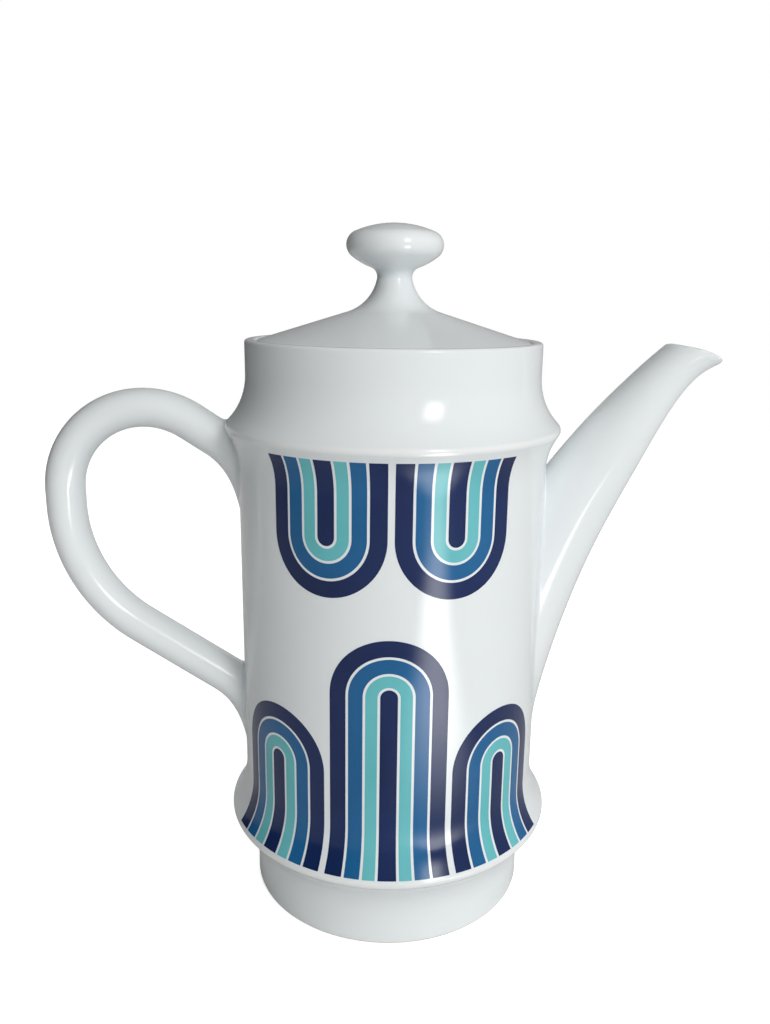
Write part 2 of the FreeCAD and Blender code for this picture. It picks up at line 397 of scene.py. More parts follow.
@dataclass(frozen=True)
class Print:
    """Colour of a fired transfer, slightly uneven, with less gloss than the glaze round it."""

    name: str
    full: Colour
    thin: Colour
    gloss: float = 0.3
    roughness: Span = (0.1, 0.17)
    streaks: Clouds = Clouds(scale=38.0, detail=6.0)
    screen: Clouds = Clouds(scale=2600.0, detail=1.0, height=0.00001, strength=0.2)

    def build(self) -> Material:
        """Make the material.

        Returns:
            The finished material.
        """
        material, book, shader = new_material(self.name)
        screen = self.screen.value(book)
        waves = WAVES.normal(book, WAVES.value(book))
        streaks = book.spread(self.streaks.value(book), RISING)
        book.feed(book.tint(streaks, self.full, self.thin), shader.inputs["Base Color"])
        book.feed(book.spread(screen, self.roughness), shader.inputs["Roughness"])
        book.feed(self.screen.normal(book, screen, waves), shader.inputs["Normal"])
        shader.inputs["IOR"].default_value = GLAZE_IOR
        shader.inputs["Specular IOR Level"].default_value = self.gloss
        return material


NAVY = Print("print_navy", (0.006, 0.017, 0.075), (0.009, 0.024, 0.100))
BLUE = Print("print_blue", (0.009, 0.100, 0.255), (0.015, 0.124, 0.300))
TURQUOISE = Print("print_turquoise", (0.115, 0.460, 0.490), (0.150, 0.510, 0.540))


# Outlines of turned pieces


def spot(radius: float, height: float) -> Vector:
    """A point of an outline."""
    return Vector((radius, height))


def heading(degrees: float) -> Vector:
    """The unit vector at an angle above the radius."""
    return spot(math.cos(math.radians(degrees)), math.sin(math.radians(degrees)))


def towards(start: Vector, end: Vector, distance: float) -> Vector:
    """The point at a distance from one point on the way to another."""
    return start + (end - start).normalized() * distance


def cove_rise(wall: float, cove: float, nose: float, nose_round: float) -> float:
    """The height from the middle of a bead to the end of the cove that leads into it."""
    return math.sqrt((cove + nose_round) ** 2 - (wall + cove - nose + nose_round) ** 2)


@dataclass
class Outline:
    """A chain of lines and arcs in radius and height, cut into short steps for turning.

    Attributes:
        points: the points so far.
        zones: the finish of the step that leads to each point.
        zone: the finish of the steps that come next.
        pools: how the glaze lies at each point, from -1, thin over an edge, to 1, deep in a hollow.
    """

    points: Row
    pools: list[float] = field(default_factory=lambda: [0.0])
    zones: list[Zone] = field(default_factory=lambda: [Zone.GLAZED])
    zone: Zone = Zone.GLAZED

    LONGEST_STEP: ClassVar[float] = 6.0
    LONGEST_ARC_STEP: ClassVar[float] = 2.0
    FEWEST_ARC_STEPS: ClassVar[int] = 4
    EDGE_STEP: ClassVar[float] = 0.5
    TURN_STEP: ClassVar[float] = math.radians(7)
    POOLING: ClassVar[float] = 2.4

    @property
    def tip(self) -> Vector:
        """The last point."""
        return self.points[-1]

    def add(self, point: Vector, pool: float = 0.0) -> None:
        """Go straight to a point in one step.

        Args:
            point: where it goes.
            pool: how the glaze lies there.
        """
        self.points.append(point)
        self.zones.append(self.zone)
        self.pools.append(pool)

    def line(self, end: Vector) -> None:
        """Draw a straight line, with a short step at each end to keep the shading crisp.

        Args:
            end: where it goes.
        """
        start = self.tip.copy()
        inner = (end - start).length - 2 * self.EDGE_STEP
        if inner > 2 * self.EDGE_STEP:
            steps = math.ceil(inner / self.LONGEST_STEP)
            for step in range(steps + 1):
                self.add(towards(start, end, self.EDGE_STEP + inner * step / steps))
        self.add(end)

    def arc(self, centre: Vector, end: Vector) -> None:
        """Draw the shorter arc about a centre.

        Args:
            centre: the centre.
            end: where it goes.
        """
        start = self.tip - centre
        turn = start.angle_signed(end - centre)
        length = abs(turn) * start.length
        steps = max(
            self.FEWEST_ARC_STEPS,
            math.ceil(abs(turn) / self.TURN_STEP),
            math.ceil(length / self.LONGEST_ARC_STEP),
        )
        pool = math.copysign(min(1.0, self.POOLING / start.length), turn)
        for step in range(1, steps):
            lie = pool * math.sin(math.pi * step / steps)
            self.add(centre + Matrix.Rotation(-turn * step / steps, 2) @ start, lie)
        self.add(end)

    def ogee(self, end: Vector) -> None:
        """Carry an upright wall over to another radius with two equal arcs.

        Args:
            end: where it goes.
        """
        step = end - self.tip
        radius = step.dot(step) / (4 * step.x)
        middle = (self.tip + end) * 0.5
        self.arc(self.tip + spot(radius, 0), middle)
        self.arc(end - spot(radius, 0), end)

    def bead(self, height: float, nose: float, nose_round: float, below: Span, above: Span) -> None:
        """Run up one wall, over a rounded bead and on to the next wall, through a cove each side.

        Args:
            height: the height of the bead.
            nose: its radius.
            nose_round: the rounding of its nose.
            below: the radius of the wall below and of its cove.
            above: the radius of the wall above and of its cove.
        """
        centre = spot(nose - nose_round, height)
        low, high = (
            spot(wall + cove, height + side * cove_rise(wall, cove, nose, nose_round))
            for side, (wall, cove) in ((-1, below), (1, above))
        )
        self.line(spot(below[0], low.y))
        self.arc(low, towards(centre, low, nose_round))
        self.arc(centre, towards(centre, high, nose_round))
        self.arc(high, spot(above[0], high.y))

    def turned(self, segments: int) -> BMesh:
        """Turn the outline round the axis.

        Args:
            segments: how many steps there are in a full turn.

        Returns:
            The closed mesh, in metres, with its zones as material indices.
        """
        mesh = bmesh.new()
        depth = mesh.verts.layers.float.new(POOL)
        rings = []
        for point, pool in zip(self.points, self.pools):
            if point.x < ON_AXIS:
                rings.append([mesh.verts.new((0, 0, point.y * MM))] * segments)
                continue
            ring = []
            for step in range(segments):
                angle = math.tau * step / segments
                place = (point.x * math.cos(angle), point.x * math.sin(angle), point.y)
                ring.append(mesh.verts.new(Vector(place) * MM))
                ring[-1][depth] = pool
            rings.append(ring)
        for number in range(1, len(rings)):
            bridge(mesh, rings[number - 1], rings[number], self.zones[number])
        if self.points[0].x > ON_AXIS:
            bridge(mesh, rings[-1], rings[0], self.zone)
        return mesh


def bridge(mesh: BMesh, first: list, second: list, zone: Zone = Zone.GLAZED) -> None:
    """Join two rings of points with faces.

    Args:
        mesh: the mesh.
        first: one ring.
        second: the other ring, with as many points.
        zone: the finish of the faces.
    """
    for step in range(len(first)):
        ahead = (step + 1) % len(first)
        corners = (first[step], first[ahead], second[ahead], second[step])
        face = mesh.faces.new(list(dict.fromkeys(corners)))
        face.material_index = zone
        face.smooth = True


# Pieces


def new_object(name: str, mesh: BMesh, finishes: Sequence[Material]) -> bpy.types.Object:
    """Make an object of a mesh.

    Args:
        name: the object's name.
        mesh: its mesh, which is freed.
        finishes: its materials, in the order of the zones.

    Returns:
        The object.
    """
    data = bpy.data.meshes.new(name)
    mesh.to_mesh(data)
    mesh.free()
    for finish in finishes:
        data.materials.append(finish)
    piece = bpy.data.objects.new(name, data)
    bpy.context.scene.collection.objects.link(piece)
    return piece


def new_piece(
    name: str, mesh: BMesh, finishes: Sequence[Material], sharp: float = SHARP_EDGE
) -> bpy.types.Object:
    """Make an object of a closed mesh.

    Args:
        name: the piece's name.
        mesh: its mesh, which is freed.
        finishes: its materials, in the order of the zones.
        sharp: the angle in degrees over which an edge shows.

    Returns:
        The object.
    """
    bmesh.ops.remove_doubles(mesh, verts=mesh.verts, dist=SAME_POINT * MM)
    bmesh.ops.recalc_face_normals(mesh, faces=mesh.faces)
    piece = new_object(name, mesh, finishes)
    piece.data.set_sharp_from_angle(angle=math.radians(sharp))
    return piece


def baked(piece: bpy.types.Object) -> None:
    """Turn a piece with modifiers into its plain mesh.

    Args:
        piece: the piece, whose modifiers are applied and removed.
    """
    graph = bpy.context.evaluated_depsgraph_get()
    data = bpy.data.meshes.new_from_object(piece.evaluated_get(graph))
    piece.modifiers.clear()
    old = piece.data
    piece.data = data
    bpy.data.meshes.remove(old)


def drop_slivers(data: bpy.types.Mesh) -> None:
    """Close up the edges of next to no length that a cut leaves.

    Args:
        data: the mesh, which is changed.
    """
    mesh = bmesh.new()
    mesh.from_mesh(data)
    bmesh.ops.dissolve_degenerate(mesh, dist=SLIVER * MM, edges=mesh.edges)
    mesh.to_mesh(data)
    mesh.free()


def pierced(piece: bpy.types.Object, drill: BMesh) -> None:
    """Cut a hole in a piece.

    Args:
        piece: the piece.
        drill: the closed mesh that is taken away, which is freed.
    """
    tool = new_piece("drill", drill, ())
    cut = piece.modifiers.new("hole", "BOOLEAN")
    cut.operation = "DIFFERENCE"
    cut.solver = "EXACT"
    cut.object = tool
    baked(piece)
    drop_slivers(piece.data)
    data = tool.data
    bpy.data.objects.remove(tool)
    bpy.data.meshes.remove(data)


def settle(piece: bpy.types.Object, body: Body, *nodes: str) -> None:
    """Put a piece on its body, in the place of its solids.

    Args:
        piece: the piece.
        body: the body that carries it.
        nodes: the solids that it stands for.
    """
    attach(piece, body.value)
    if nodes:
        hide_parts(*nodes)
    LOG.info("%s: %d faces on %s", piece.name, len(piece.data.polygons), body.value)


@dataclass
class PotBody:
    """The cast vessel, with its beads, the seat of the lid and the foot ring."""

    radius: float = 50.0
    rim_height: float = 187.4
    rim_round: float = 1.0
    collar_radius: float = 47.2
    collar_cove: float = 21.0
    shoulder_height: float = 160.3
    shoulder_radius: float = 54.0
    shoulder_round: float = 2.0
    shoulder_cove: float = 22.0
    base_height: float = 27.6
    base_radius: float = 55.2
    base_round: float = 2.0
    base_cove: float = 26.0
    foot_radius: float = 46.7
    foot_cove: float = 21.0
    foot_round: float = 0.8
    foot_ring: float = 3.6
    foot_bevel: float = 2.0
    foot_recess: float = 2.5
    wall: float = 3.5
    floor: float = 4.0
    floor_round: float = 9.0
    mouth_radius: float = 44.0
    seat_depth: float = 3.0
    ledge_radius: float = 38.8
    ledge_thickness: float = 3.0
    ledge_round: float = 0.8
    pour_hole_radius: float = 7.0
    pour_hole_ends: Span = (84.6, 112.6)
    pour_hole_steps: int = 48
    pour_hole_walls: Span = (-3.0, 1.0)
    segments: int = 240

    def cove_top(self) -> float:
        """The height at which the cove over the base bead ends."""
        return self.base_height + cove_rise(
            self.radius, self.base_cove, self.base_radius, self.base_round
        )

    def cove_under_shoulder(self) -> float:
        """The height at which the cove under the shoulder bead starts."""
        return self.shoulder_height - cove_rise(
            self.radius, self.shoulder_cove, self.shoulder_radius, self.shoulder_round
        )

    def __post_init__(self) -> None:
        """Keep the outer wall as steps, for what is set against it."""
        steps = self.draw_outside(Outline([spot(self.foot_radius, self.foot_round)])).points
        self.wall_heights = [point.y for point in steps]
        self.wall_radii = [point.x for point in steps]

    def radius_at(self, height: float) -> float:
        """The outer radius of the wall between the foot and the rim.

        Args:
            height: the height over the table.

        Returns:
            The radius there.
        """
        return float(np.interp(height, self.wall_heights, self.wall_radii))

    def outline(self) -> Outline:
        """The closed outline of the vessel.

        Returns:
            The outline, from the axis under the floor round to the axis inside.
        """
        ring_inside = self.foot_radius - self.foot_round - self.foot_ring
        outline = Outline([spot(0, self.foot_recess)])
        outline.line(spot(ring_inside - self.foot_bevel, self.foot_recess))
        outline.zone = Zone.BARE
        outline.line(spot(ring_inside, 0))
        foot = spot(self.foot_radius - self.foot_round, self.foot_round)
        outline.line(foot - spot(0, self.foot_round))
        outline.arc(foot, foot + spot(self.foot_round, 0))
        outline.zone = Zone.GLAZED
        self.draw_outside(outline)
        self.draw_rim(outline)
        self.draw_inside(outline)
        return outline

    def draw_outside(self, outline: Outline) -> Outline:
        """Draw the outer wall with its two beads.

        Args:
            outline: the outline, which has reached the foot.

        Returns:
            The outline.
        """
        outline.bead(
            self.base_height,
            self.base_radius,
            self.base_round,
            (self.foot_radius, self.foot_cove),
            (self.radius, self.base_cove),
        )
        outline.bead(
            self.shoulder_height,
            self.shoulder_radius,
            self.shoulder_round,
            (self.radius, self.shoulder_cove),
            (self.collar_radius, self.collar_cove),
        )
        outline.line(spot(self.collar_radius, self.rim_height - self.rim_round))
        return outline

    def draw_rim(self, outline: Outline) -> None:
        """Draw the rim and the bare seat of the lid.

        Args:
            outline: the outline, which has reached the collar.
        """
        edge = spot(self.collar_radius - self.rim_round, self.rim_height - self.rim_round)
        outline.arc(edge, edge + spot(0, self.rim_round))
        edge = spot(self.mouth_radius + self.rim_round, self.rim_height - self.rim_round)
        outline.line(edge + spot(0, self.rim_round))
        outline.arc(edge, edge - spot(self.rim_round, 0))
        outline.zone = Zone.BARE
        ledge_height = self.rim_height - self.seat_depth
        outline.line(spot(self.mouth_radius, ledge_height))
        edge = spot(self.ledge_radius + self.ledge_round, ledge_height - self.ledge_round)
        outline.line(edge + spot(0, self.ledge_round))
        outline.arc(edge, edge - spot(self.ledge_round, 0))
        outline.zone = Zone.GLAZED

    def draw_inside(self, outline: Outline) -> None:
        """Draw the hollow.

        Args:
            outline: the outline, which has reached the ledge.
        """
        collar_bore = self.collar_radius - self.wall
        body_bore = self.radius - self.wall
        foot_bore = self.foot_radius - self.wall
        floor_top = self.foot_recess + self.floor
        ledge_under = self.rim_height - self.seat_depth - self.ledge_thickness
        outline.line(spot(self.ledge_radius, ledge_under))
        outline.line(spot(collar_bore, ledge_under - (collar_bore - self.ledge_radius)))
        outline.ogee(spot(body_bore, self.cove_under_shoulder()))
        outline.line(spot(body_bore, self.cove_top()))
        outline.ogee(spot(foot_bore, floor_top + self.floor_round))
        centre = spot(foot_bore - self.floor_round, floor_top + self.floor_round)
        outline.arc(centre, centre - spot(0, self.floor_round))
        outline.line(spot(0, floor_top))

    def slot_drill(self) -> BMesh:
        """The upright slot with round ends behind the spout.

        Returns:
            The mesh to take away.
        """
        half = self.pour_hole_radius
        low, high = self.pour_hole_ends
        mesh = bmesh.new()
        rings = []
        for walls in self.pour_hole_walls:
            reach = self.radius + walls * self.wall
            ring = []
            for step in range(self.pour_hole_steps):
                angle = math.tau * (step + 0.5) / self.pour_hole_steps
                end = high if math.sin(angle) > 0 else low
                place = (reach, half * math.cos(angle), end + half * math.sin(angle))
                ring.append(mesh.verts.new(Vector(place) * MM))
            rings.append(ring)
        bridge(mesh, *rings)
        for ring in rings:
            mesh.faces.new(ring)
        return mesh

    def build(self, glaze: Material, bare: Material) -> None:
        """Make the vessel.

        Args:
            glaze: the finish of its walls.
            bare: the finish of the foot ring and the seat.
        """
        piece = new_piece("pot_vessel", self.outline().turned(self.segments), (glaze, bare))
        pierced(piece, self.slot_drill())
        settle(piece, Body.POT, "pot_body")


# Tubes that grow out of the vessel


@dataclass
class Bow:
    """A shallow arc between two points of the XZ plane, which can be followed past its ends."""

    start: Vector
    end: Vector
    sag: float

    def __post_init__(self) -> None:
        """Work out the arc's centre and turn."""
        chord = self.end - self.start
        side = Vector((-chord.y, chord.x)) / chord.length
        radius = (chord.length**2 / 4 + self.sag**2) / (2 * self.sag)
        self.centre = self.start + chord * 0.5 - side * (radius - self.sag)
        self.arm = self.start - self.centre
        self.turn = -2 * math.asin(chord.length / (2 * radius))

    def arm_at(self, share: float) -> Vector:
        """The way from the centre to the arc at a share of the way along it."""
        sine, cosine = math.sin(self.turn * share), math.cos(self.turn * share)
        return spot(self.arm.x * cosine - self.arm.y * sine, self.arm.x * sine + self.arm.y * cosine)

    def point(self, share: float) -> Vector:
        """The point at a share of the way, which may be under 0 or over 1."""
        return self.centre + self.arm_at(share)

    def course(self, share: float) -> Vector:
        """The unit vector along the arc at a share of the way."""
        arm = self.arm_at(share)
        return spot(arm.y, -arm.x) * math.copysign(1 / arm.length, -self.turn)


@dataclass
class Curve:
    """A smooth curve through rows of numbers, each at its own place along it."""

    places: np.ndarray
    values: np.ndarray

    def __post_init__(self) -> None:
        """Work out the bend at each row, with none at the two ends."""
        steps = np.diff(self.places)
        count = len(self.places)
        matrix = np.eye(count)
        right = np.zeros_like(self.values)
        slopes = np.diff(self.values, axis=0) / steps[:, None]
        for row in range(1, count - 1):
            before, after = steps[row - 1], steps[row]
            matrix[row, row - 1 : row + 2] = before, 2 * (before + after), after
            right[row] = 6 * (slopes[row] - slopes[row - 1])
        self.bends = np.linalg.solve(matrix, right)

    def at(self, place: float) -> np.ndarray:
        """The numbers at a place along the curve.

        Args:
            place: the place.

        Returns:
            The numbers there.
        """
        row = int(np.clip(np.searchsorted(self.places, place) - 1, 0, len(self.places) - 2))
        span = self.places[row + 1] - self.places[row]
        ahead = (place - self.places[row]) / span
        back = 1 - ahead
        bend = (back**3 - back) * self.bends[row] + (ahead**3 - ahead) * self.bends[row + 1]
        return back * self.values[row] + ahead * self.values[row + 1] + bend * span**2 / 6


HALVINGS = 44


def crossing(test: Callable[[float], float], low: float, high: float) -> float:
    """Find where a rising value passes zero.

    Args:
        test: the value.
        low: a place where it is under zero.
        high: a place where it is over zero.

    Returns:
        The place between them.
    """
    for _ in range(HALVINGS):
        middle = (low + high) / 2
        if test(middle) > 0:
            high = middle
        else:
            low = middle
    return (low + high) / 2


@dataclass
class Root:
    """The place where a tube grows out of the vessel, with a fillet of slip round it.

    Attributes:
        body: the vessel.
        surface: the tube's skin, at a place along it and an angle round it.
        inside: a place along the tube that is inside the wall for every angle.
        outside: a place along it that is clear of the wall for every angle.
        angles: the angles round the tube.
        reach: how far the fillet reaches from the corner, for each angle.
    """

    body: PotBody
    surface: Surface
    inside: float
    outside: float
    angles: Sequence[float]
    reach: Callable[[float], float]

    SUNK: ClassVar[float] = 0.06
    POOLS: ClassVar[tuple[float, ...]] = (0.0, 0.35, 0.7, 0.85, 0.7, 0.45, 0.2)
    STEPS: ClassVar[int] = len(POOLS)

    @property
    def way(self) -> int:
        """1 where the tube leaves the wall forwards along it, and -1 where it leaves backwards."""
        return 1 if self.outside > self.inside else -1

    def proud(self, point: Vector) -> float:
        """How far a point stands off the wall."""
        return math.hypot(point.x, point.y) - self.body.radius_at(point.z)

    def on_wall(self, point: Vector) -> Vector:
        """The point just under the wall's surface at the same height and bearing."""
        scale = (self.body.radius_at(point.z) - self.SUNK) / math.hypot(point.x, point.y)
        return Vector((point.x * scale, point.y * scale, point.z))

    def corner(self, angle: float) -> float:
        """Find where the tube's skin meets the wall.

        Args:
            angle: the angle round the tube.

        Returns:
            The place along the tube.
        """
        gap = crossing(
            lambda gap: self.proud(self.surface(self.inside + self.way * gap, angle)),
            0.0,
            abs(self.outside - self.inside),
        )
        return self.inside + self.way * gap

    def end(self, corner: float, angle: float) -> float:
        """Find where the fillet ends on the tube.

        Args:
            corner: the place along the tube where its skin meets the wall.
            angle: the angle round the tube.

        Returns:
            The place along the tube.
        """
        start = self.surface(corner, angle)
        reach = self.reach(angle)
        gap = crossing(
            lambda gap: (self.surface(corner + self.way * gap, angle) - start).length - reach,
            0.0,
            abs(self.outside - corner),
        )
        return corner + self.way * gap

    def rows(self) -> tuple[list[Row], list[float]]:
        """The rows of the fillet.

        Returns:
            The rows from the wall outwards, and the place along the tube where each angle ends.
        """
        corners = [self.corner(angle) for angle in self.angles]
        ends = [self.end(corner, angle) for corner, angle in zip(corners, self.angles)]
        points = [self.surface(place, angle) for place, angle in zip(corners, self.angles)]
        middle = sum(points, Vector()) / len(points)
        rows: list[Row] = [[] for _ in range(self.STEPS)]
        for number, (end, point, angle) in enumerate(zip(ends, points, self.angles)):
            along = points[(number + 1) % len(points)] - points[number - 1]
            bearing = Vector((point.x, point.y, 0)).normalized()
            away = along.cross(bearing).normalized()
            if away.dot(point - middle) < 0:
                away.negate()
            foot = self.on_wall(point + away * self.reach(angle))
            top = self.surface(end, angle)
            for step, row in enumerate(rows):
                share = step / self.STEPS
                back = 1 - share
                row.append(foot * back**2 + point * (2 * share * back) + top * share**2)
        return rows, ends


def skin_rows(
    surface: Surface,
    starts: Sequence[float],
    ends: Sequence[float],
    angles: Sequence[float],
    count: int,
) -> list[Row]:
    """The rows of a tube's skin between two places for each angle.

    Args:
        surface: the skin.
        starts: where each angle starts.
        ends: where each angle ends.
        angles: the angles round the tube.
        count: how many steps there are along it.

    Returns:
        The rows, with both ends.
    """
    rows = []
    for step in range(count + 1):
        share = step / count
        places = [start + (end - start) * share for start, end in zip(starts, ends)]
        rows.append([surface(place, angle) for place, angle in zip(places, angles)])
    return rows


def tube_mesh(rows: Sequence[Row], pools: Sequence[float], capped: bool) -> BMesh:
    """Join rows of points into a closed mesh.

    Args:
        rows: the rows in order.
        pools: how the glaze lies on each row.
        capped: whether the two ends are closed with a fan, or joined to each other.

    Returns:
        The mesh, in metres.
    """
    mesh = bmesh.new()
    depth = mesh.verts.layers.float.new(POOL)
    rings = [[mesh.verts.new(point * MM) for point in row] for row in rows]
    for ring, pool in zip(rings, pools):
        for corner in ring:
            corner[depth] = pool
    for first, second in zip(rings, rings[1:]):
        bridge(mesh, first, second)
    if capped:
        for ring, row in ((rings[0], rows[0]), (rings[-1], rows[-1])):
            hub = mesh.verts.new(sum(row, Vector()) / len(row) * MM)
            bridge(mesh, ring, [hub] * len(ring))
    else:
        bridge(mesh, rings[-1], rings[0])
    return mesh


@dataclass
class Spout:
    """The hollow spout, with a rounded lip that dips to its tip."""

    body: PotBody
    reach: float = 37.5
    mouth: float = 14.6
    mouth_width: float = 14.6
    mouth_slope: float = 16.0
    mouth_crown: float = 1.3
    mouth_wall: float = 2.0
    lip: float = 20.0
    lip_hook: float = 0.6
    lip_round: float = 1.1
    tip_round: float = 3.2
    lip_pool: float = -0.8
    throat_lean: float = 47.0
    top_drop: float = 14.5
    top_bow: float = 1.6
    under_rise: float = 32.0
    under_bow: float = 6.4
    root_width: float = 30.0
    wall: float = 2.8
    stations: tuple[float, ...] = (-0.2, 0.0, 0.25, 0.5, 0.75, 1.0)
    overrun: float = 1.25
    hook_place: float = 0.45
    fillet: Span = (1.2, 5.0)
    fillet_growth: float = 0.6
    tip_growth: float = 6.0
    clear_of_wall: float = 0.45
    clear_of_mouth: float = 0.5
    around: int = 112
    along: int = 84
    lip_steps: int = 10

    def __post_init__(self) -> None:
        """Work out the curves that the skins follow."""
        self.throat_top = spot(self.body.radius + self.reach, self.body.rim_height)
        self.lip_tip = self.throat_top + heading(-self.mouth_slope) * self.lip
        self.crown = Bow(self.throat_top, self.lip_tip, self.mouth_crown)
        outer = self.section_rows(0.0)
        inner = self.section_rows(1.0)
        centres = (outer[:, 0:2] + outer[:, 2:4]) / 2
        steps = np.linalg.norm(np.diff(centres, axis=0), axis=1)
        places = np.concatenate(([0.0], np.cumsum(steps)))
        self.length = float(places[-1])
        self.outer = Curve(places, outer)
        self.inner = Curve(places, inner)

    def section_rows(self, hollow: float) -> np.ndarray:
        """The top point, bottom point and half width of the sections of a skin.

        Args:
            hollow: 0 for the outer skin and 1 for the inner skin.

        Returns:
            One row of five numbers for each station.
        """
        body = self.body
        throat_under = self.throat_top + heading(-self.throat_lean) * self.mouth
        top = Bow(
            spot(body.radius, body.shoulder_height - self.top_drop), self.throat_top, self.top_bow
        )
        under = Bow(
            spot(body.radius, body.base_height + self.under_rise), throat_under, self.under_bow
        )
        stations = [
            (1 - share, top.point(share), top.course(share), under.point(share), under.course(share))
            for share in self.stations
        ]
        lip = self.lip_tip - throat_under
        past = lip.length * self.overrun
        lip.normalize()
        course = top.course(1)
        inwards = spot(-lip.y, lip.x)
        for way, hook in ((self.hook_place * past, self.lip_hook), (past, 0.0)):
            under_lip = throat_under + lip * way + inwards * hook
            stations.append((0.0, self.throat_top + course * way, course, under_lip, lip))
        rows = []
        for taper, upper, upper_course, lower, lower_course in stations:
            across = (upper - lower).normalized()
            wall = hollow * (self.mouth_wall + taper * (self.wall - self.mouth_wall))
            width = self.mouth_width + taper * (self.root_width - self.mouth_width)
            upper = upper - across * (wall / abs(across.cross(upper_course)))
            lower = lower + across * (wall / abs(across.cross(lower_course)))
            rows.append((*upper, *lower, width / 2 - wall))
        return np.array(rows)

    def skin(self, curve: Curve) -> Surface:
        """The surface that a curve of sections sweeps.

        Args:
            curve: the sections.

        Returns:
            The surface.
        """

        def point(place: float, angle: float) -> Vector:
            """Find a point of the skin.

            Args:
                place: the distance along it.
                angle: the angle from its top.

            Returns:
                The point.
            """
            upper_x, upper_z, lower_x, lower_z, half_width = curve.at(place)
            share = (1 + math.cos(angle)) / 2
            return Vector(
                (
                    lower_x + (upper_x - lower_x) * share,
                    half_width * math.sin(angle),
                    lower_z + (upper_z - lower_z) * share,
                )
            )

        return point

    def mouth_place(self, surface: Surface, angle: float) -> float:
        """Find where a skin comes to the curve of the mouth.

        Args:
            surface: the skin.
            angle: the angle round it.

        Returns:
            The place along it.
        """
        radius = self.crown.arm.length

        def above(place: float) -> float:
            """How far the skin is above the mouth."""
            point = surface(place, angle)
            return (spot(point.x, point.z) - self.crown.centre).length - radius

        return crossing(above, self.length * self.clear_of_mouth, self.length)

    def fillet_at(self, angle: float) -> float:
        """How far the fillet reaches, least at the top, under the shoulder."""
        share = ((1 - math.cos(angle)) / 2) ** self.fillet_growth
        return self.fillet[0] + (self.fillet[1] - self.fillet[0]) * share

    def rounding_at(self, angle: float) -> float:
        """How far the rounding of the lip reaches, most at the tip, which is blunt."""
        share = ((1 - math.cos(angle)) / 2) ** self.tip_growth
        return self.lip_round + (self.tip_round - self.lip_round) * share

    def lip_rows(self, outer: Row, inner: Row, outer_rim: Row, inner_rim: Row) -> list[Row]:
        """The rows over the rounded lip.

        Args:
            outer: where the rounding starts outside.
            inner: where it ends inside.
            outer_rim: the outer edge of the square lip.
            inner_rim: its inner edge.

        Returns:
            The rows between the two skins, without them.
        """
        rows = []
        for step in range(1, self.lip_steps):
            share = step / self.lip_steps
            back = 1 - share
            weights = (back**3, 3 * back**2 * share, 3 * back * share**2, share**3)
            rows.append(
                [
                    sum((point * weight for point, weight in zip(points, weights)), Vector())
                    for points in zip(outer, outer_rim, inner_rim, inner)
                ]
            )
        return rows

    def build(self, glaze: Material) -> None:
        """Make the spout.

        Args:
            glaze: its finish.
        """
        angles = [math.tau * step / self.around for step in range(self.around)]
        outside, inside = self.skin(self.outer), self.skin(self.inner)
        halfway = self.length * self.clear_of_wall
        root = Root(self.body, outside, 0.0, halfway, angles, self.fillet_at)
        bore = Root(self.body, inside, 0.0, halfway, angles, self.fillet_at)
        fillet, starts = root.rows()
        rims = [self.mouth_place(outside, angle) for angle in angles]
        bore_rims = [self.mouth_place(inside, angle) for angle in angles]
        ends = [place - self.rounding_at(angle) for place, angle in zip(rims, angles)]
        bore_ends = [place - self.lip_round for place in bore_rims]
        bore_starts = [bore.corner(angle) for angle in angles]
        skin = skin_rows(outside, starts, ends, angles, self.along)
        bore_skin = skin_rows(inside, bore_ends, bore_starts, angles, self.along // 2)
        outer_rim = [outside(place, angle) for place, angle in zip(rims, angles)]
        inner_rim = [inside(place, angle) for place, angle in zip(bore_rims, angles)]
        lip = self.lip_rows(skin[-1], bore_skin[0], outer_rim, inner_rim)
        bore_skin.append([root.on_wall(point) for point in bore_skin[-1]])
        rows = fillet + skin + lip + bore_skin
        pools = [*root.POOLS, *[0.0] * len(skin), *[self.lip_pool] * len(lip), *[0.0] * len(bore_skin)]
        mesh = tube_mesh(rows, pools, capped=False)
        piece = new_piece("pouring_spout", mesh, (glaze,), SHARP_TUBE_EDGE)
        settle(piece, Body.POT, "spout")


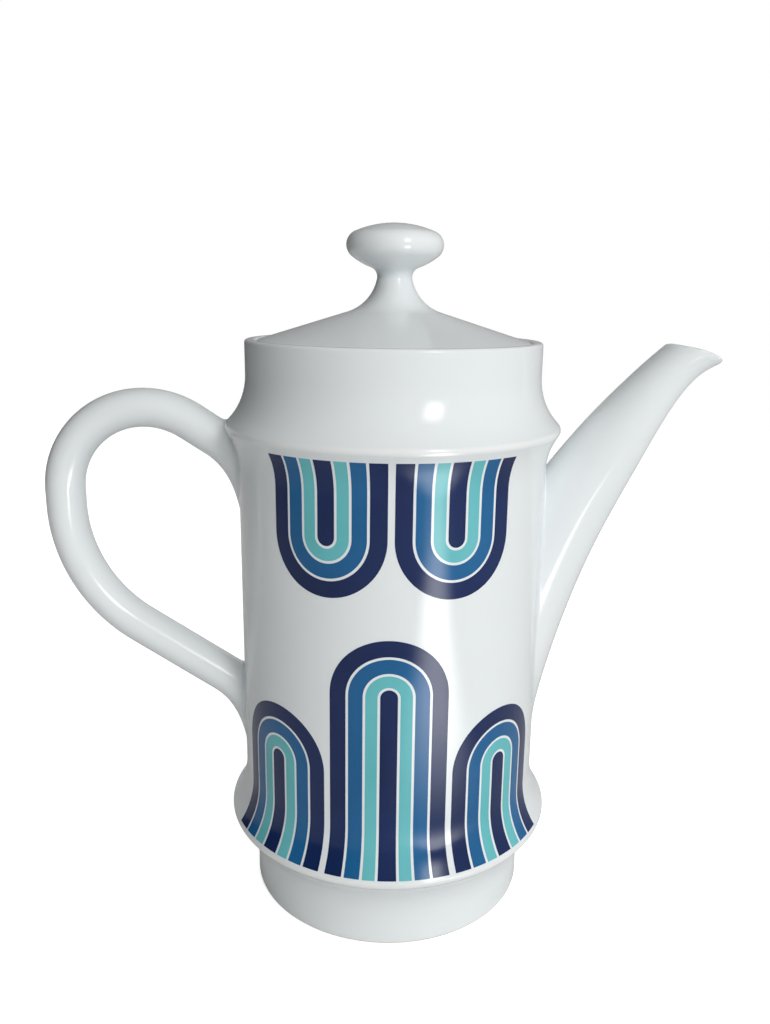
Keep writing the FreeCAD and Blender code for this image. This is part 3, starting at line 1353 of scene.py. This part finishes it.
@dataclass
class Handle:
    """The ear-shaped handle, with roots that flare down the wall."""

    body: PotBody
    reach: float = 58.6
    thickness: float = 12.6
    width: float = 14.0
    slope: float = 32.6
    bow: float = 27.6
    back: float = 5.2
    upper_drop: float = 10.3
    lower_rise: float = 39.4
    lower_flare: float = 12.5
    upper_flare: float = 3.0
    side_flare: float = 4.0
    root_length: float = 9.0
    root_depth: float = 12.0
    fillet: float = 3.0
    around: int = 72
    along: int = 170

    def __post_init__(self) -> None:
        """Work out the bends and the lengths of the runs along the handle."""
        body = self.body
        slope = math.radians(self.slope)
        sine, cosine = math.sin(slope), math.cos(slope)
        self.arm = heading(-self.slope)
        self.upwards = heading(90 - self.slope)
        self.upper_root = spot(-body.radius, body.shoulder_height - self.upper_drop)
        self.lower_root = spot(-body.radius, body.base_height + self.lower_rise)
        self.upper_arm = (self.reach - self.bow * (1 + sine)) / cosine
        self.bow_centre = self.upper_root - self.arm * self.upper_arm - self.upwards * self.bow
        rise = self.bow_centre.y - self.back - self.lower_root.y - self.reach * sine / cosine
        self.back_bow = rise / (cosine - (1 - sine) * sine / cosine)
        self.lower_arm = (self.reach - self.back_bow * (1 - sine)) / cosine
        self.back_centre = self.bow_centre + spot(self.back_bow - self.bow, -self.back)
        self.runs = (
            self.root_depth + self.upper_arm,
            self.bow * math.radians(90 + self.slope),
            self.back,
            self.back_bow * math.radians(90 - self.slope),
            self.lower_arm + self.root_depth,
        )

    def middle(self, place: float) -> tuple[Vector, Vector, float]:
        """The middle line of the handle.

        Args:
            place: the distance along it.

        Returns:
            The point, the unit vector to the outside of the bend, and the distance from the nearer
            root, which is under 0 inside the wall.
        """
        first, second, third, fourth, last = self.runs
        far = self.root_length
        if place < first:
            distance = place - self.root_depth
            return self.upper_root - self.arm * distance, self.upwards, distance
        place -= first
        if place < second:
            outwards = heading(90 - self.slope + math.degrees(place / self.bow))
            return self.bow_centre + outwards * self.bow, outwards, far
        place -= second
        if place < third:
            return self.bow_centre - spot(self.bow, place), spot(-1, 0), far
        place -= third
        if place < fourth:
            outwards = heading(180 + math.degrees(place / self.back_bow))
            return self.back_centre + outwards * self.back_bow, outwards, far
        distance = last - self.root_depth - (place - fourth)
        return self.lower_root - self.arm * distance, -self.upwards, distance

    def skin(self, place: float, angle: float) -> Vector:
        """The skin of the handle.

        Args:
            place: the distance along its middle line.
            angle: the angle from the outside of the bend.

        Returns:
            The point.
        """
        centre, outwards, distance = self.middle(place)
        near = max(0.0, self.root_length - distance) / (self.root_length + self.root_depth)
        fall = self.lower_flare * near**2
        rise = self.upper_flare * near**2
        centre = centre + self.upwards * ((rise - fall) / 2)
        flat = centre + outwards * ((self.thickness + rise + fall) / 2 * math.cos(angle))
        sideways = (self.width / 2 + self.side_flare * near**2) * math.sin(angle)
        return Vector((flat.x, sideways, flat.y))

    def build(self, glaze: Material) -> None:
        """Make the handle.

        Args:
            glaze: its finish.
        """
        angles = [math.tau * step / self.around for step in range(self.around)]
        whole = sum(self.runs)
        clear = self.root_depth + self.upper_arm

        def reach(angle: float) -> float:
            """The fillet is even all round."""
            return self.fillet

        upper = Root(self.body, self.skin, 0.0, clear, angles, reach)
        lower = Root(self.body, self.skin, whole, whole - clear, angles, reach)
        first, starts = upper.rows()
        last, ends = lower.rows()
        skin = skin_rows(self.skin, starts, ends, angles, self.along)
        pools = [*Root.POOLS, *[0.0] * len(skin), *reversed(Root.POOLS)]
        rows = first + skin + last[::-1]
        mesh = tube_mesh(rows, pools, capped=True)
        piece = new_piece("ear_handle", mesh, (glaze,), SHARP_TUBE_EDGE)
        settle(piece, Body.POT, "handle")


# Lid


@dataclass
class Lid:
    """The loose lid: a cone drawn up to a neck, a locating flange and a flattened round knob."""

    radius: float = 43.6
    underside: float = 184.7
    edge_height: float = 187.0
    edge_round: float = 0.8
    wall: float = 3.2
    slope: float = 17.3
    flange_radius: float = 38.3
    flange_depth: float = 14.0
    flange_wall: float = 3.0
    neck_radius: float = 5.5
    neck_cove: float = 13.4
    neck_drop: float = 2.1
    air_hole: float = 3.0
    air_hole_place: float = 26.0
    air_hole_segments: int = 32
    air_hole_walls: float = 6.0
    knob_radius: float = 15.2
    knob_edge: float = 4.4
    knob_dome: float = 32.0
    knob_under: float = 22.0
    knob_cove: float = 3.0
    segments: int = 200
    knob_segments: int = 128

    def cone(self, radius: float) -> Vector:
        """The point of the cone at a radius."""
        return spot(
            radius, self.edge_height + (self.radius - radius) * math.tan(math.radians(self.slope))
        )

    def coves(self) -> tuple[Vector, Vector, Vector]:
        """The centres of the two coves of the neck, and the joint between them.

        Returns:
            The centre of the large cove, of the small one, and the point where they meet.
        """
        normal = heading(90 - self.slope)
        sideways = math.sqrt((self.neck_cove - self.knob_cove) ** 2 - self.neck_drop**2)
        small_radius = self.neck_radius + self.knob_cove
        large_radius = small_radius + sideways
        large = self.cone(large_radius - self.neck_cove * normal.x) + normal * self.neck_cove
        small = spot(small_radius, large.y - self.neck_drop)
        return large, small, towards(large, small, self.neck_cove)

    def cover_outline(self) -> Outline:
        """The closed outline of the cover.

        Returns:
            The outline, from the axis at the neck round to the axis underneath.
        """
        normal = heading(90 - self.slope)
        large, _, joint = self.coves()
        cove_end = large - normal * self.neck_cove
        edge = self.cone(self.radius - self.edge_round) - normal * self.edge_round
        outline = Outline([spot(0, joint.y)])
        outline.add(joint)
        outline.arc(large, cove_end)
        outline.line(edge + normal * self.edge_round)
        outline.arc(edge, edge + spot(self.edge_round, 0))
        outline.zone = Zone.BARE
        outline.line(spot(outline.tip.x, self.underside))
        outline.line(spot(self.flange_radius, self.underside))
        outline.zone = Zone.GLAZED
        flange_round = self.flange_wall / 2
        flange_end = spot(
            self.flange_radius - flange_round, self.underside - self.flange_depth + flange_round
        )
        outline.line(flange_end + spot(flange_round, 0))
        outline.arc(flange_end, flange_end - spot(0, flange_round))
        outline.arc(flange_end, flange_end - spot(flange_round, 0))
        inset = spot(0, self.wall / normal.y)
        outline.line(self.cone(self.flange_radius - self.flange_wall) - inset)
        outline.line(cove_end - inset)
        outline.line(spot(0, outline.tip.y))
        return outline

    def knob_outline(self) -> Outline:
        """The closed outline of the knob.

        Returns:
            The outline, from the axis at the neck round to the axis on top.
        """
        _, small, joint = self.coves()
        to_edge = self.knob_radius - self.knob_edge
        under_rise = math.sqrt((self.knob_under + self.knob_cove) ** 2 - small.x**2)
        under = spot(0, small.y + under_rise)
        edge_fall = math.sqrt((self.knob_under - self.knob_edge) ** 2 - to_edge**2)
        edge = spot(to_edge, under.y - edge_fall)
        dome_fall = math.sqrt((self.knob_dome - self.knob_edge) ** 2 - to_edge**2)
        dome = spot(0, edge.y - dome_fall)
        outline = Outline([spot(0, joint.y)])
        outline.add(joint)
        outline.arc(small, towards(small, under, self.knob_cove))
        outline.arc(under, towards(under, edge, self.knob_under))
        outline.arc(edge, towards(dome, edge, self.knob_dome))
        outline.arc(dome, dome + spot(0, self.knob_dome))
        return outline

    def hole_drill(self) -> BMesh:
        """The air hole on the rear of the lid.

        Returns:
            The mesh to take away.
        """
        mesh = bmesh.new()
        radius = self.air_hole / 2 * MM
        middle = self.cone(self.air_hole_place).y
        place = Matrix.Translation(Vector((0, self.air_hole_place, middle)) * MM)
        bmesh.ops.create_cone(
            mesh,
            cap_ends=True,
            segments=self.air_hole_segments,
            radius1=radius,
            radius2=radius,
            depth=self.air_hole_walls * self.wall * MM,
            matrix=place,
        )
        return mesh

    def build(self, glaze: Material, bare: Material) -> None:
        """Make the cover and the knob.

        Args:
            glaze: the finish of both.
            bare: the finish of the rim that rests on the seat.
        """
        cover = new_piece("lid_cone", self.cover_outline().turned(self.segments), (glaze, bare))
        pierced(cover, self.hole_drill())
        settle(cover, Body.LID, "lid_cover")
        knob = new_piece("lid_button", self.knob_outline().turned(self.knob_segments), (glaze,))
        settle(knob, Body.LID, "lid_knob")


# Printed decoration


@dataclass
class Arches:
    """A frieze of nested arches, printed on the front and the back of the vessel.

    Attributes:
        body: the vessel.
        pitch: the distance between the arches of a row.
        bands: for each print colour, the outer and inner half widths of its bands.
        foot: the height at which the standing arches start.
        spring: the height at which the side arches bend.
        middle_rise: how much higher the middle arch bends.
        top: the height at which the hanging arches start.
        hang: how far down they bend.
        film: how far the print stands proud of the glaze.
        film_depth: how thick its film is.
        standing: how many arches stand on the base.
        hanging: how many hang from the shoulder.
        bend_steps: how many steps there are round a bend.
        leg_step: the longest step along a leg.
        lane: the widest step across a band.
    """

    body: PotBody
    pitch: float = 38.0
    bands: tuple[tuple[Print, tuple[Span, ...]], ...] = (
        (NAVY, ((18.0, 13.0), (2.6, 0.0))),
        (BLUE, ((12.2, 7.8),)),
        (TURQUOISE, ((7.0, 3.4),)),
    )
    foot: float = 29.0
    spring: float = 60.0
    middle_rise: float = 27.0
    top: float = 157.2
    hang: float = 22.5
    film: float = 0.05
    film_depth: float = 0.09
    standing: int = 3
    hanging: int = 2
    bend_steps: int = 56
    leg_step: float = 1.6
    lane: float = 1.5

    LIFT: ClassVar[str] = "lift"
    NEAR_MIDDLE: ClassVar[float] = 0.25
    NEAR_SPRING: ClassVar[float] = 0.01

    def flat_row(self, side: Side, outer: float, inner: float, mesh: BMesh) -> None:
        """Draw one band of an arch on the flat, with X along the wall and Z up.

        Args:
            side: which way up the arch is.
            outer: the half width of the band's outer edge.
            inner: the half width of its inner edge.
            mesh: the mesh to draw it in.
        """
        start = self.foot if side is Side.STANDING else self.top
        bend = self.spring if side is Side.STANDING else self.top - self.hang
        legs = max(1, round(abs(bend - start) / self.leg_step))
        path = [(1.0, 0.0, start + (bend - start) * step / legs) for step in range(legs)]
        for step in range(self.bend_steps + 1):
            angle = math.pi * step / self.bend_steps
            path.append((math.cos(angle), math.sin(angle) * side.value, bend))
        path += [(-across, 0.0, height) for across, _, height in reversed(path[:legs])]
        lanes = math.ceil((outer - inner) / self.lane)
        rails = []
        for lane in range(lanes + 1):
            half = outer + (inner - outer) * lane / lanes
            rails.append(
                [
                    mesh.verts.new(Vector((half * across, 0, height + half * up)) * MM)
                    for across, up, height in path
                ]
            )
        for first, second in zip(rails, rails[1:]):
            for step in range(len(path) - 1):
                mesh.faces.new((first[step], first[step + 1], second[step + 1], second[step]))

    def tree(self) -> bpy.types.NodeTree:
        """The node tree that repeats an arch along a row and wraps the row round the vessel.

        Returns:
            The tree, with its sizes as inputs.
        """
        tree = bpy.data.node_groups.new("arch_row", "GeometryNodeTree")
        size_names = (
            "Pitch",
            "Middle Rise",
            "Spring",
            "Wall Radius",
            "Base Cove",
            "Base Cove Top",
            "Shoulder Cove",
            "Shoulder Cove Foot",
            "Film",
        )
        kinds = {"Arch": "NodeSocketGeometry", "Count": "NodeSocketInt"}
        kinds |= {name: "NodeSocketFloat" for name in size_names}
        kinds["Colour"] = "NodeSocketMaterial"
        for name, kind in kinds.items():
            tree.interface.new_socket(name, in_out="INPUT", socket_type=kind)
        tree.interface.new_socket("Row", in_out="OUTPUT", socket_type="NodeSocketGeometry")
        book = NodeBook(tree)
        sizes = book.add("NodeGroupInput").outputs
        row = self.add_row(book, sizes)
        self.add_back(book, sizes, self.add_wrap(book, sizes, row))
        return tree

    def add_row(self, book: NodeBook, sizes: object) -> Socket:
        """Set the arches side by side and lift the middle one.

        Args:
            book: the tree's nodes.
            sizes: the tree's inputs.

        Returns:
            The socket with the flat row.
        """
        spans = book.maths("SUBTRACT", sizes["Count"], 1)
        line = book.wired(
            "GeometryNodeMeshLine",
            {
                "Count": sizes["Count"],
                "Start Location": book.vector(X=book.product(spans, sizes["Pitch"], -0.5)),
                "Offset": book.vector(X=sizes["Pitch"]),
            },
        )
        number = book.wired("GeometryNodeInputIndex", {})
        off_middle = book.maths("SUBTRACT", number, book.product(spans, 0.5))
        is_middle = book.maths("LESS_THAN", book.maths("ABSOLUTE", off_middle), self.NEAR_MIDDLE)
        points = book.wired(
            "GeometryNodeStoreNamedAttribute",
            {
                "Geometry": line,
                "Name": self.LIFT,
                "Value": book.product(is_middle, sizes["Middle Rise"]),
            },
            data_type="FLOAT",
            domain="POINT",
        )
        copies = book.wired("GeometryNodeInstanceOnPoints", {"Points": points, "Instance": sizes["Arch"]})
        row = book.wired("GeometryNodeRealizeInstances", {"Geometry": copies})
        lift = book.wired("GeometryNodeInputNamedAttribute", {"Name": self.LIFT}, data_type="FLOAT")
        _, _, height = book.split(book.wired("GeometryNodeInputPosition", {}))
        spring = book.maths("SUBTRACT", sizes["Spring"], self.NEAR_SPRING * MM)
        bends = book.maths("GREATER_THAN", height, spring)
        upwards = book.vector(Z=book.product(bends, lift))
        return book.wired("GeometryNodeSetPosition", {"Geometry": row, "Offset": upwards})

    def add_wrap(self, book: NodeBook, sizes: object, row: Socket) -> Socket:
        """Bend the flat row round the wall and out over the coves of the two beads.

        Args:
            book: the tree's nodes.
            sizes: the tree's inputs.
            row: the flat row.

        Returns:
            The socket with the bent row.
        """
        across, _, height = book.split(book.wired("GeometryNodeInputPosition", {}))
        angle = book.maths("DIVIDE", across, sizes["Wall Radius"])
        radius = book.maths("ADD", sizes["Wall Radius"], sizes["Film"])
        into_base = book.maths("SUBTRACT", sizes["Base Cove Top"], height)
        into_shoulder = book.maths("SUBTRACT", height, sizes["Shoulder Cove Foot"])
        for into, cove in ((into_base, sizes["Base Cove"]), (into_shoulder, sizes["Shoulder Cove"])):
            into = book.maths("MAXIMUM", into, 0.0)
            fall = book.maths("SUBTRACT", book.product(cove, cove), book.product(into, into))
            flare = book.maths("SUBTRACT", cove, book.maths("SQRT", fall))
            radius = book.maths("ADD", radius, flare)
        bent = book.vector(
            X=book.product(radius, book.maths("SINE", angle)),
            Y=book.product(radius, book.maths("COSINE", angle), -1.0),
            Z=height,
        )
        return book.wired("GeometryNodeSetPosition", {"Geometry": row, "Position": bent})

    def add_back(self, book: NodeBook, sizes: object, front: Socket) -> None:
        """Repeat the front on the back and give both their colour.

        Args:
            book: the tree's nodes.
            sizes: the tree's inputs.
            front: the bent row.
        """
        half_turn = (0, 0, math.pi)
        turned = book.wired("GeometryNodeTransform", {"Geometry": front, "Rotation": half_turn})
        both = book.add("GeometryNodeJoinGeometry")
        for geometry in (front, turned):
            book.feed(geometry, both.inputs[0])
        solid = book.wired("GeometryNodeRealizeInstances", {"Geometry": both.outputs[0]})
        painted = book.wired("GeometryNodeSetMaterial", {"Geometry": solid, "Material": sizes["Colour"]})
        book.feed(painted, book.add("NodeGroupOutput").inputs[0])

    def repeated(
        self, tree: bpy.types.NodeTree, side: Side, colour: Material, flat: BMesh
    ) -> bpy.types.Mesh:
        """Repeat and wrap one colour of a row.

        Args:
            tree: the node tree.
            side: which row it is.
            colour: its finish.
            flat: the flat bands of one arch, which is freed.

        Returns:
            The plain mesh.
        """
        arch = new_piece("flat_arch", flat, ())
        standing = side is Side.STANDING
        values = {
            "Count": self.standing if standing else self.hanging,
            "Pitch": self.pitch * MM,
            "Middle Rise": self.middle_rise * MM if standing else 0.0,
            "Spring": self.spring * MM,
            "Wall Radius": self.body.radius * MM,
            "Base Cove": self.body.base_cove * MM,
            "Base Cove Top": self.body.cove_top() * MM,
            "Shoulder Cove": self.body.shoulder_cove * MM,
            "Shoulder Cove Foot": self.body.cove_under_shoulder() * MM,
            "Film": self.film * MM,
            "Colour": colour,
        }
        nodes = arch.modifiers.new("row", "NODES")
        nodes.node_group = tree
        for socket in tree.interface.items_tree:
            if socket.in_out == "INPUT" and socket.name in values:
                nodes[socket.identifier] = values[socket.name]
        baked(arch)
        data = arch.data
        bpy.data.objects.remove(arch)
        return data

    def build(self) -> None:
        """Make the print, one piece for each colour."""
        tree = self.tree()
        for colour, bands in self.bands:
            finish = colour.build()
            mesh = bmesh.new()
            for side in Side:
                flat = bmesh.new()
                for outer, inner in bands:
                    self.flat_row(side, outer, inner, flat)
                data = self.repeated(tree, side, finish, flat)
                mesh.from_mesh(data)
                bpy.data.meshes.remove(data)
            for face in mesh.faces:
                face.smooth = True
            self.face_outwards(mesh)
            piece = new_print(colour.name, mesh, finish, self.film_depth)
            settle(piece, Body.POT)

    def face_outwards(self, mesh: BMesh) -> None:
        """Turn every face of a print away from the axis.

        Args:
            mesh: the print's mesh.
        """
        mesh.normal_update()
        inwards = [face for face in mesh.faces if face.normal.xy.dot(face.calc_center_median().xy) < 0]
        bmesh.ops.reverse_faces(mesh, faces=inwards)


def new_print(name: str, mesh: BMesh, finish: Material, depth: float) -> bpy.types.Object:
    """Make a thin closed film of a sheet.

    Args:
        name: the piece's name.
        mesh: the sheet, which is freed.
        finish: its colour.
        depth: how deep the film goes under its face.

    Returns:
        The object.
    """
    bmesh.ops.remove_doubles(mesh, verts=mesh.verts, dist=SAME_POINT * MM)
    piece = new_object(name, mesh, (finish,))
    film = piece.modifiers.new("film", "SOLIDIFY")
    film.thickness = depth * MM
    film.offset = -1
    baked(piece)
    piece.data.set_sharp_from_angle(angle=math.radians(SHARP_EDGE))
    return piece


# Studio


@dataclass(frozen=True)
class Lamp:
    """A soft lamp that looks at the pot and isn't mirrored in its glaze.

    Attributes:
        name: the lamp's name.
        bearing: degrees from the front towards the spout.
        rise: degrees above the table.
        distance: metres from the pot.
        size: width and height in metres.
        power: watts.
    """

    name: str
    bearing: float
    rise: float
    distance: float
    size: Span
    power: float

    def build(self, target: Vector) -> None:
        """Hang the lamp.

        Args:
            target: where it looks.
        """
        bearing, rise = math.radians(self.bearing), math.radians(self.rise)
        out = Vector(
            (math.sin(bearing) * math.cos(rise), -math.cos(bearing) * math.cos(rise), math.sin(rise))
        )
        light = bpy.data.lights.new(self.name, "AREA")
        light.shape = "RECTANGLE"
        light.size, light.size_y = self.size
        light.energy = self.power
        lamp = bpy.data.objects.new(self.name, light)
        lamp.visible_glossy = False
        lamp.location = target + out * self.distance
        lamp.rotation_euler = (-out).to_track_quat("-Z", "Y").to_euler()
        bpy.context.scene.collection.objects.link(lamp)


@dataclass
class Studio:
    """The floor, the light and the camera, in metres.

    A span of the room or the window is where its light changes, on the parts of a unit direction.
    """

    camera_place: Place = (0.0, -0.2867, 0.2026)
    camera_pitch: float = 14.09
    camera_roll: float = 0.75
    camera_clip: float = 0.01
    lens: float = 31.04
    shift: float = -0.00645
    target: Place = (0.0, 0.0, 0.11)
    floor_radius: float = 1.5
    floor_segments: int = 96
    floor_fade: Span = (0.375, 1.35)
    floor_colour: Colour = (0.74, 0.74, 0.74)
    floor_roughness: float = 0.7
    floor_glow: float = 0.74
    room_sides: tuple[Span, Span] = ((-0.9, 0.7), (0.01, 0.44))
    room_rise: tuple[Span, Span] = ((0.1, 0.85), (1.0, 0.45))
    window_bearing: float = 31.0
    window_strength: float = 11.0
    window_ahead: Span = (0.2, 0.5)
    window_aside: Span = (0.0, 0.18)
    window_foot: Span = (0.1, 0.36)
    window_head: Span = (0.4, 0.7)
    patch_strength: float = 8.0
    patch_near: Span = (0.1, 0.22)
    patch_aside: Span = (0.01, 0.09)
    lamps: tuple[Lamp, ...] = (
        Lamp("key", 45, 25, 1.5, (1.2, 1.2), 4.8),
        Lamp("front", 10, 18, 1.5, (1.2, 1.2), 6.9),
        Lamp("rear", 188, 20, 1.6, (0.8, 1.0), 14.0),
        Lamp("top", 20, 68, 1.5, (1.2, 1.2), 4.3),
    )

    def build(self) -> None:
        """Set up the studio."""
        self.add_floor()
        self.add_world()
        for lamp in self.lamps:
            lamp.build(Vector(self.target))
        self.add_camera()
        bpy.context.scene.view_settings.view_transform = "Standard"

    def add_floor(self) -> None:
        """Lay a plain pale floor that keeps the pot's shadow."""
        mesh = bmesh.new()
        bmesh.ops.create_circle(
            mesh, cap_ends=True, segments=self.floor_segments, radius=self.floor_radius
        )
        floor = new_piece("floor", mesh, ())
        material, book, shader = new_material("pale_floor")
        shader.inputs["Base Color"].default_value = (*self.floor_colour, 1)
        shader.inputs["Roughness"].default_value = self.floor_roughness
        shader.inputs["Emission Color"].default_value = (1, 1, 1, 1)
        path = book.add("ShaderNodeLightPath").outputs
        place = book.add("ShaderNodeTexCoord").outputs["Object"]
        seen = book.product(path["Is Camera Ray"], self.floor_glow)
        mirrored = book.product(path["Is Glossy Ray"], self.sunny_patch(book, place))
        book.feed(book.maths("ADD", seen, mirrored), shader.inputs["Emission Strength"])
        distance = book.add("ShaderNodeVectorMath", operation="LENGTH")
        book.feed(place, distance.inputs[0])
        fade = book.ramp(distance.outputs["Value"], self.floor_fade, FALLING)
        book.feed(fade, shader.inputs["Alpha"])
        floor.data.materials.append(material)

    def add_world(self) -> None:
        """Light the pot all round, less from the side of the handle, before a white background."""
        world = bpy.data.worlds.new("studio")
        bpy.context.scene.world = world
        world.use_nodes = True
        book = NodeBook(world.node_tree)
        room = world.node_tree.nodes["Background"]
        parts = book.split(book.add("ShaderNodeTexCoord").outputs["Generated"])
        sideways = book.ramp(parts[0], *self.room_sides)
        upwards = book.ramp(parts[2], *self.room_rise)
        level = book.maths("ADD", book.product(sideways, upwards), self.window(book, parts))
        seen = book.add("ShaderNodeLightPath").outputs["Is Camera Ray"]
        book.feed(book.mix("FLOAT", seen, level, 1.0), room.inputs["Strength"])
        room.inputs["Color"].default_value = (1, 1, 1, 1)

    def window(self, book: NodeBook, parts: Sequence[Socket]) -> Socket:
        """A soft-edged window.

        Args:
            book: the world's nodes.
            parts: the sockets with the direction's X, Y and Z.

        Returns:
            The socket with the window's brightness.
        """
        ahead, aside = self.from_window(book, parts)
        edges = (
            book.ramp(ahead, self.window_ahead, RISING),
            book.ramp(book.maths("ABSOLUTE", aside), self.window_aside, FALLING),
            book.ramp(parts[2], self.window_foot, RISING),
            book.ramp(parts[2], self.window_head, FALLING),
        )
        return book.product(self.window_strength, *edges)

    def sunny_patch(self, book: NodeBook, place: Socket) -> Socket:
        """The light that the window throws on the floor, as the glaze mirrors it.

        Args:
            book: the floor's nodes.
            place: the socket with the place on the floor.

        Returns:
            The socket with the patch's brightness.
        """
        ahead, aside = self.from_window(book, book.split(place))
        near = book.ramp(ahead, self.patch_near, (0.0, self.patch_strength))
        side = book.ramp(book.maths("ABSOLUTE", aside), self.patch_aside, FALLING)
        return book.product(near, side)

    def from_window(self, book: NodeBook, parts: Sequence[Socket]) -> tuple[Socket, Socket]:
        """Measure a place or direction along the bearing of the window and across it.

        Args:
            book: the nodes.
            parts: the sockets with its X, Y and Z.

        Returns:
            The sockets with the two distances.
        """
        bearing = math.radians(self.window_bearing)
        sine, cosine = math.sin(bearing), math.cos(bearing)
        x, y, _ = parts
        ahead = book.maths("SUBTRACT", book.product(x, sine), book.product(y, cosine))
        aside = book.maths("ADD", book.product(x, cosine), book.product(y, sine))
        return ahead, aside

    def add_camera(self) -> None:
        """Put the camera where the photograph was taken from."""
        data = bpy.data.cameras.new("camera")
        data.lens = self.lens
        data.shift_x = self.shift
        data.clip_start = self.camera_clip
        camera = bpy.data.objects.new("camera", data)
        tilt = Matrix.Rotation(math.radians(90 - self.camera_pitch), 4, "X")
        roll = Matrix.Rotation(math.radians(self.camera_roll), 4, "Z")
        camera.matrix_world = Matrix.Translation(self.camera_place) @ tilt @ roll
        bpy.context.scene.collection.objects.link(camera)
        bpy.context.scene.camera = camera


def main() -> None:
    """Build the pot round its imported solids."""
    logging.basicConfig(level=logging.INFO, format="%(name)s: %(message)s")
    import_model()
    Studio().build()
    glaze = Glaze().build()
    bare = Biscuit().build()
    body = PotBody()
    body.build(glaze, bare)
    Spout(body).build(glaze)
    Handle(body).build(glaze)
    Lid().build(glaze, bare)
    Arches(body).build()


if __name__ == "__main__":
    main()
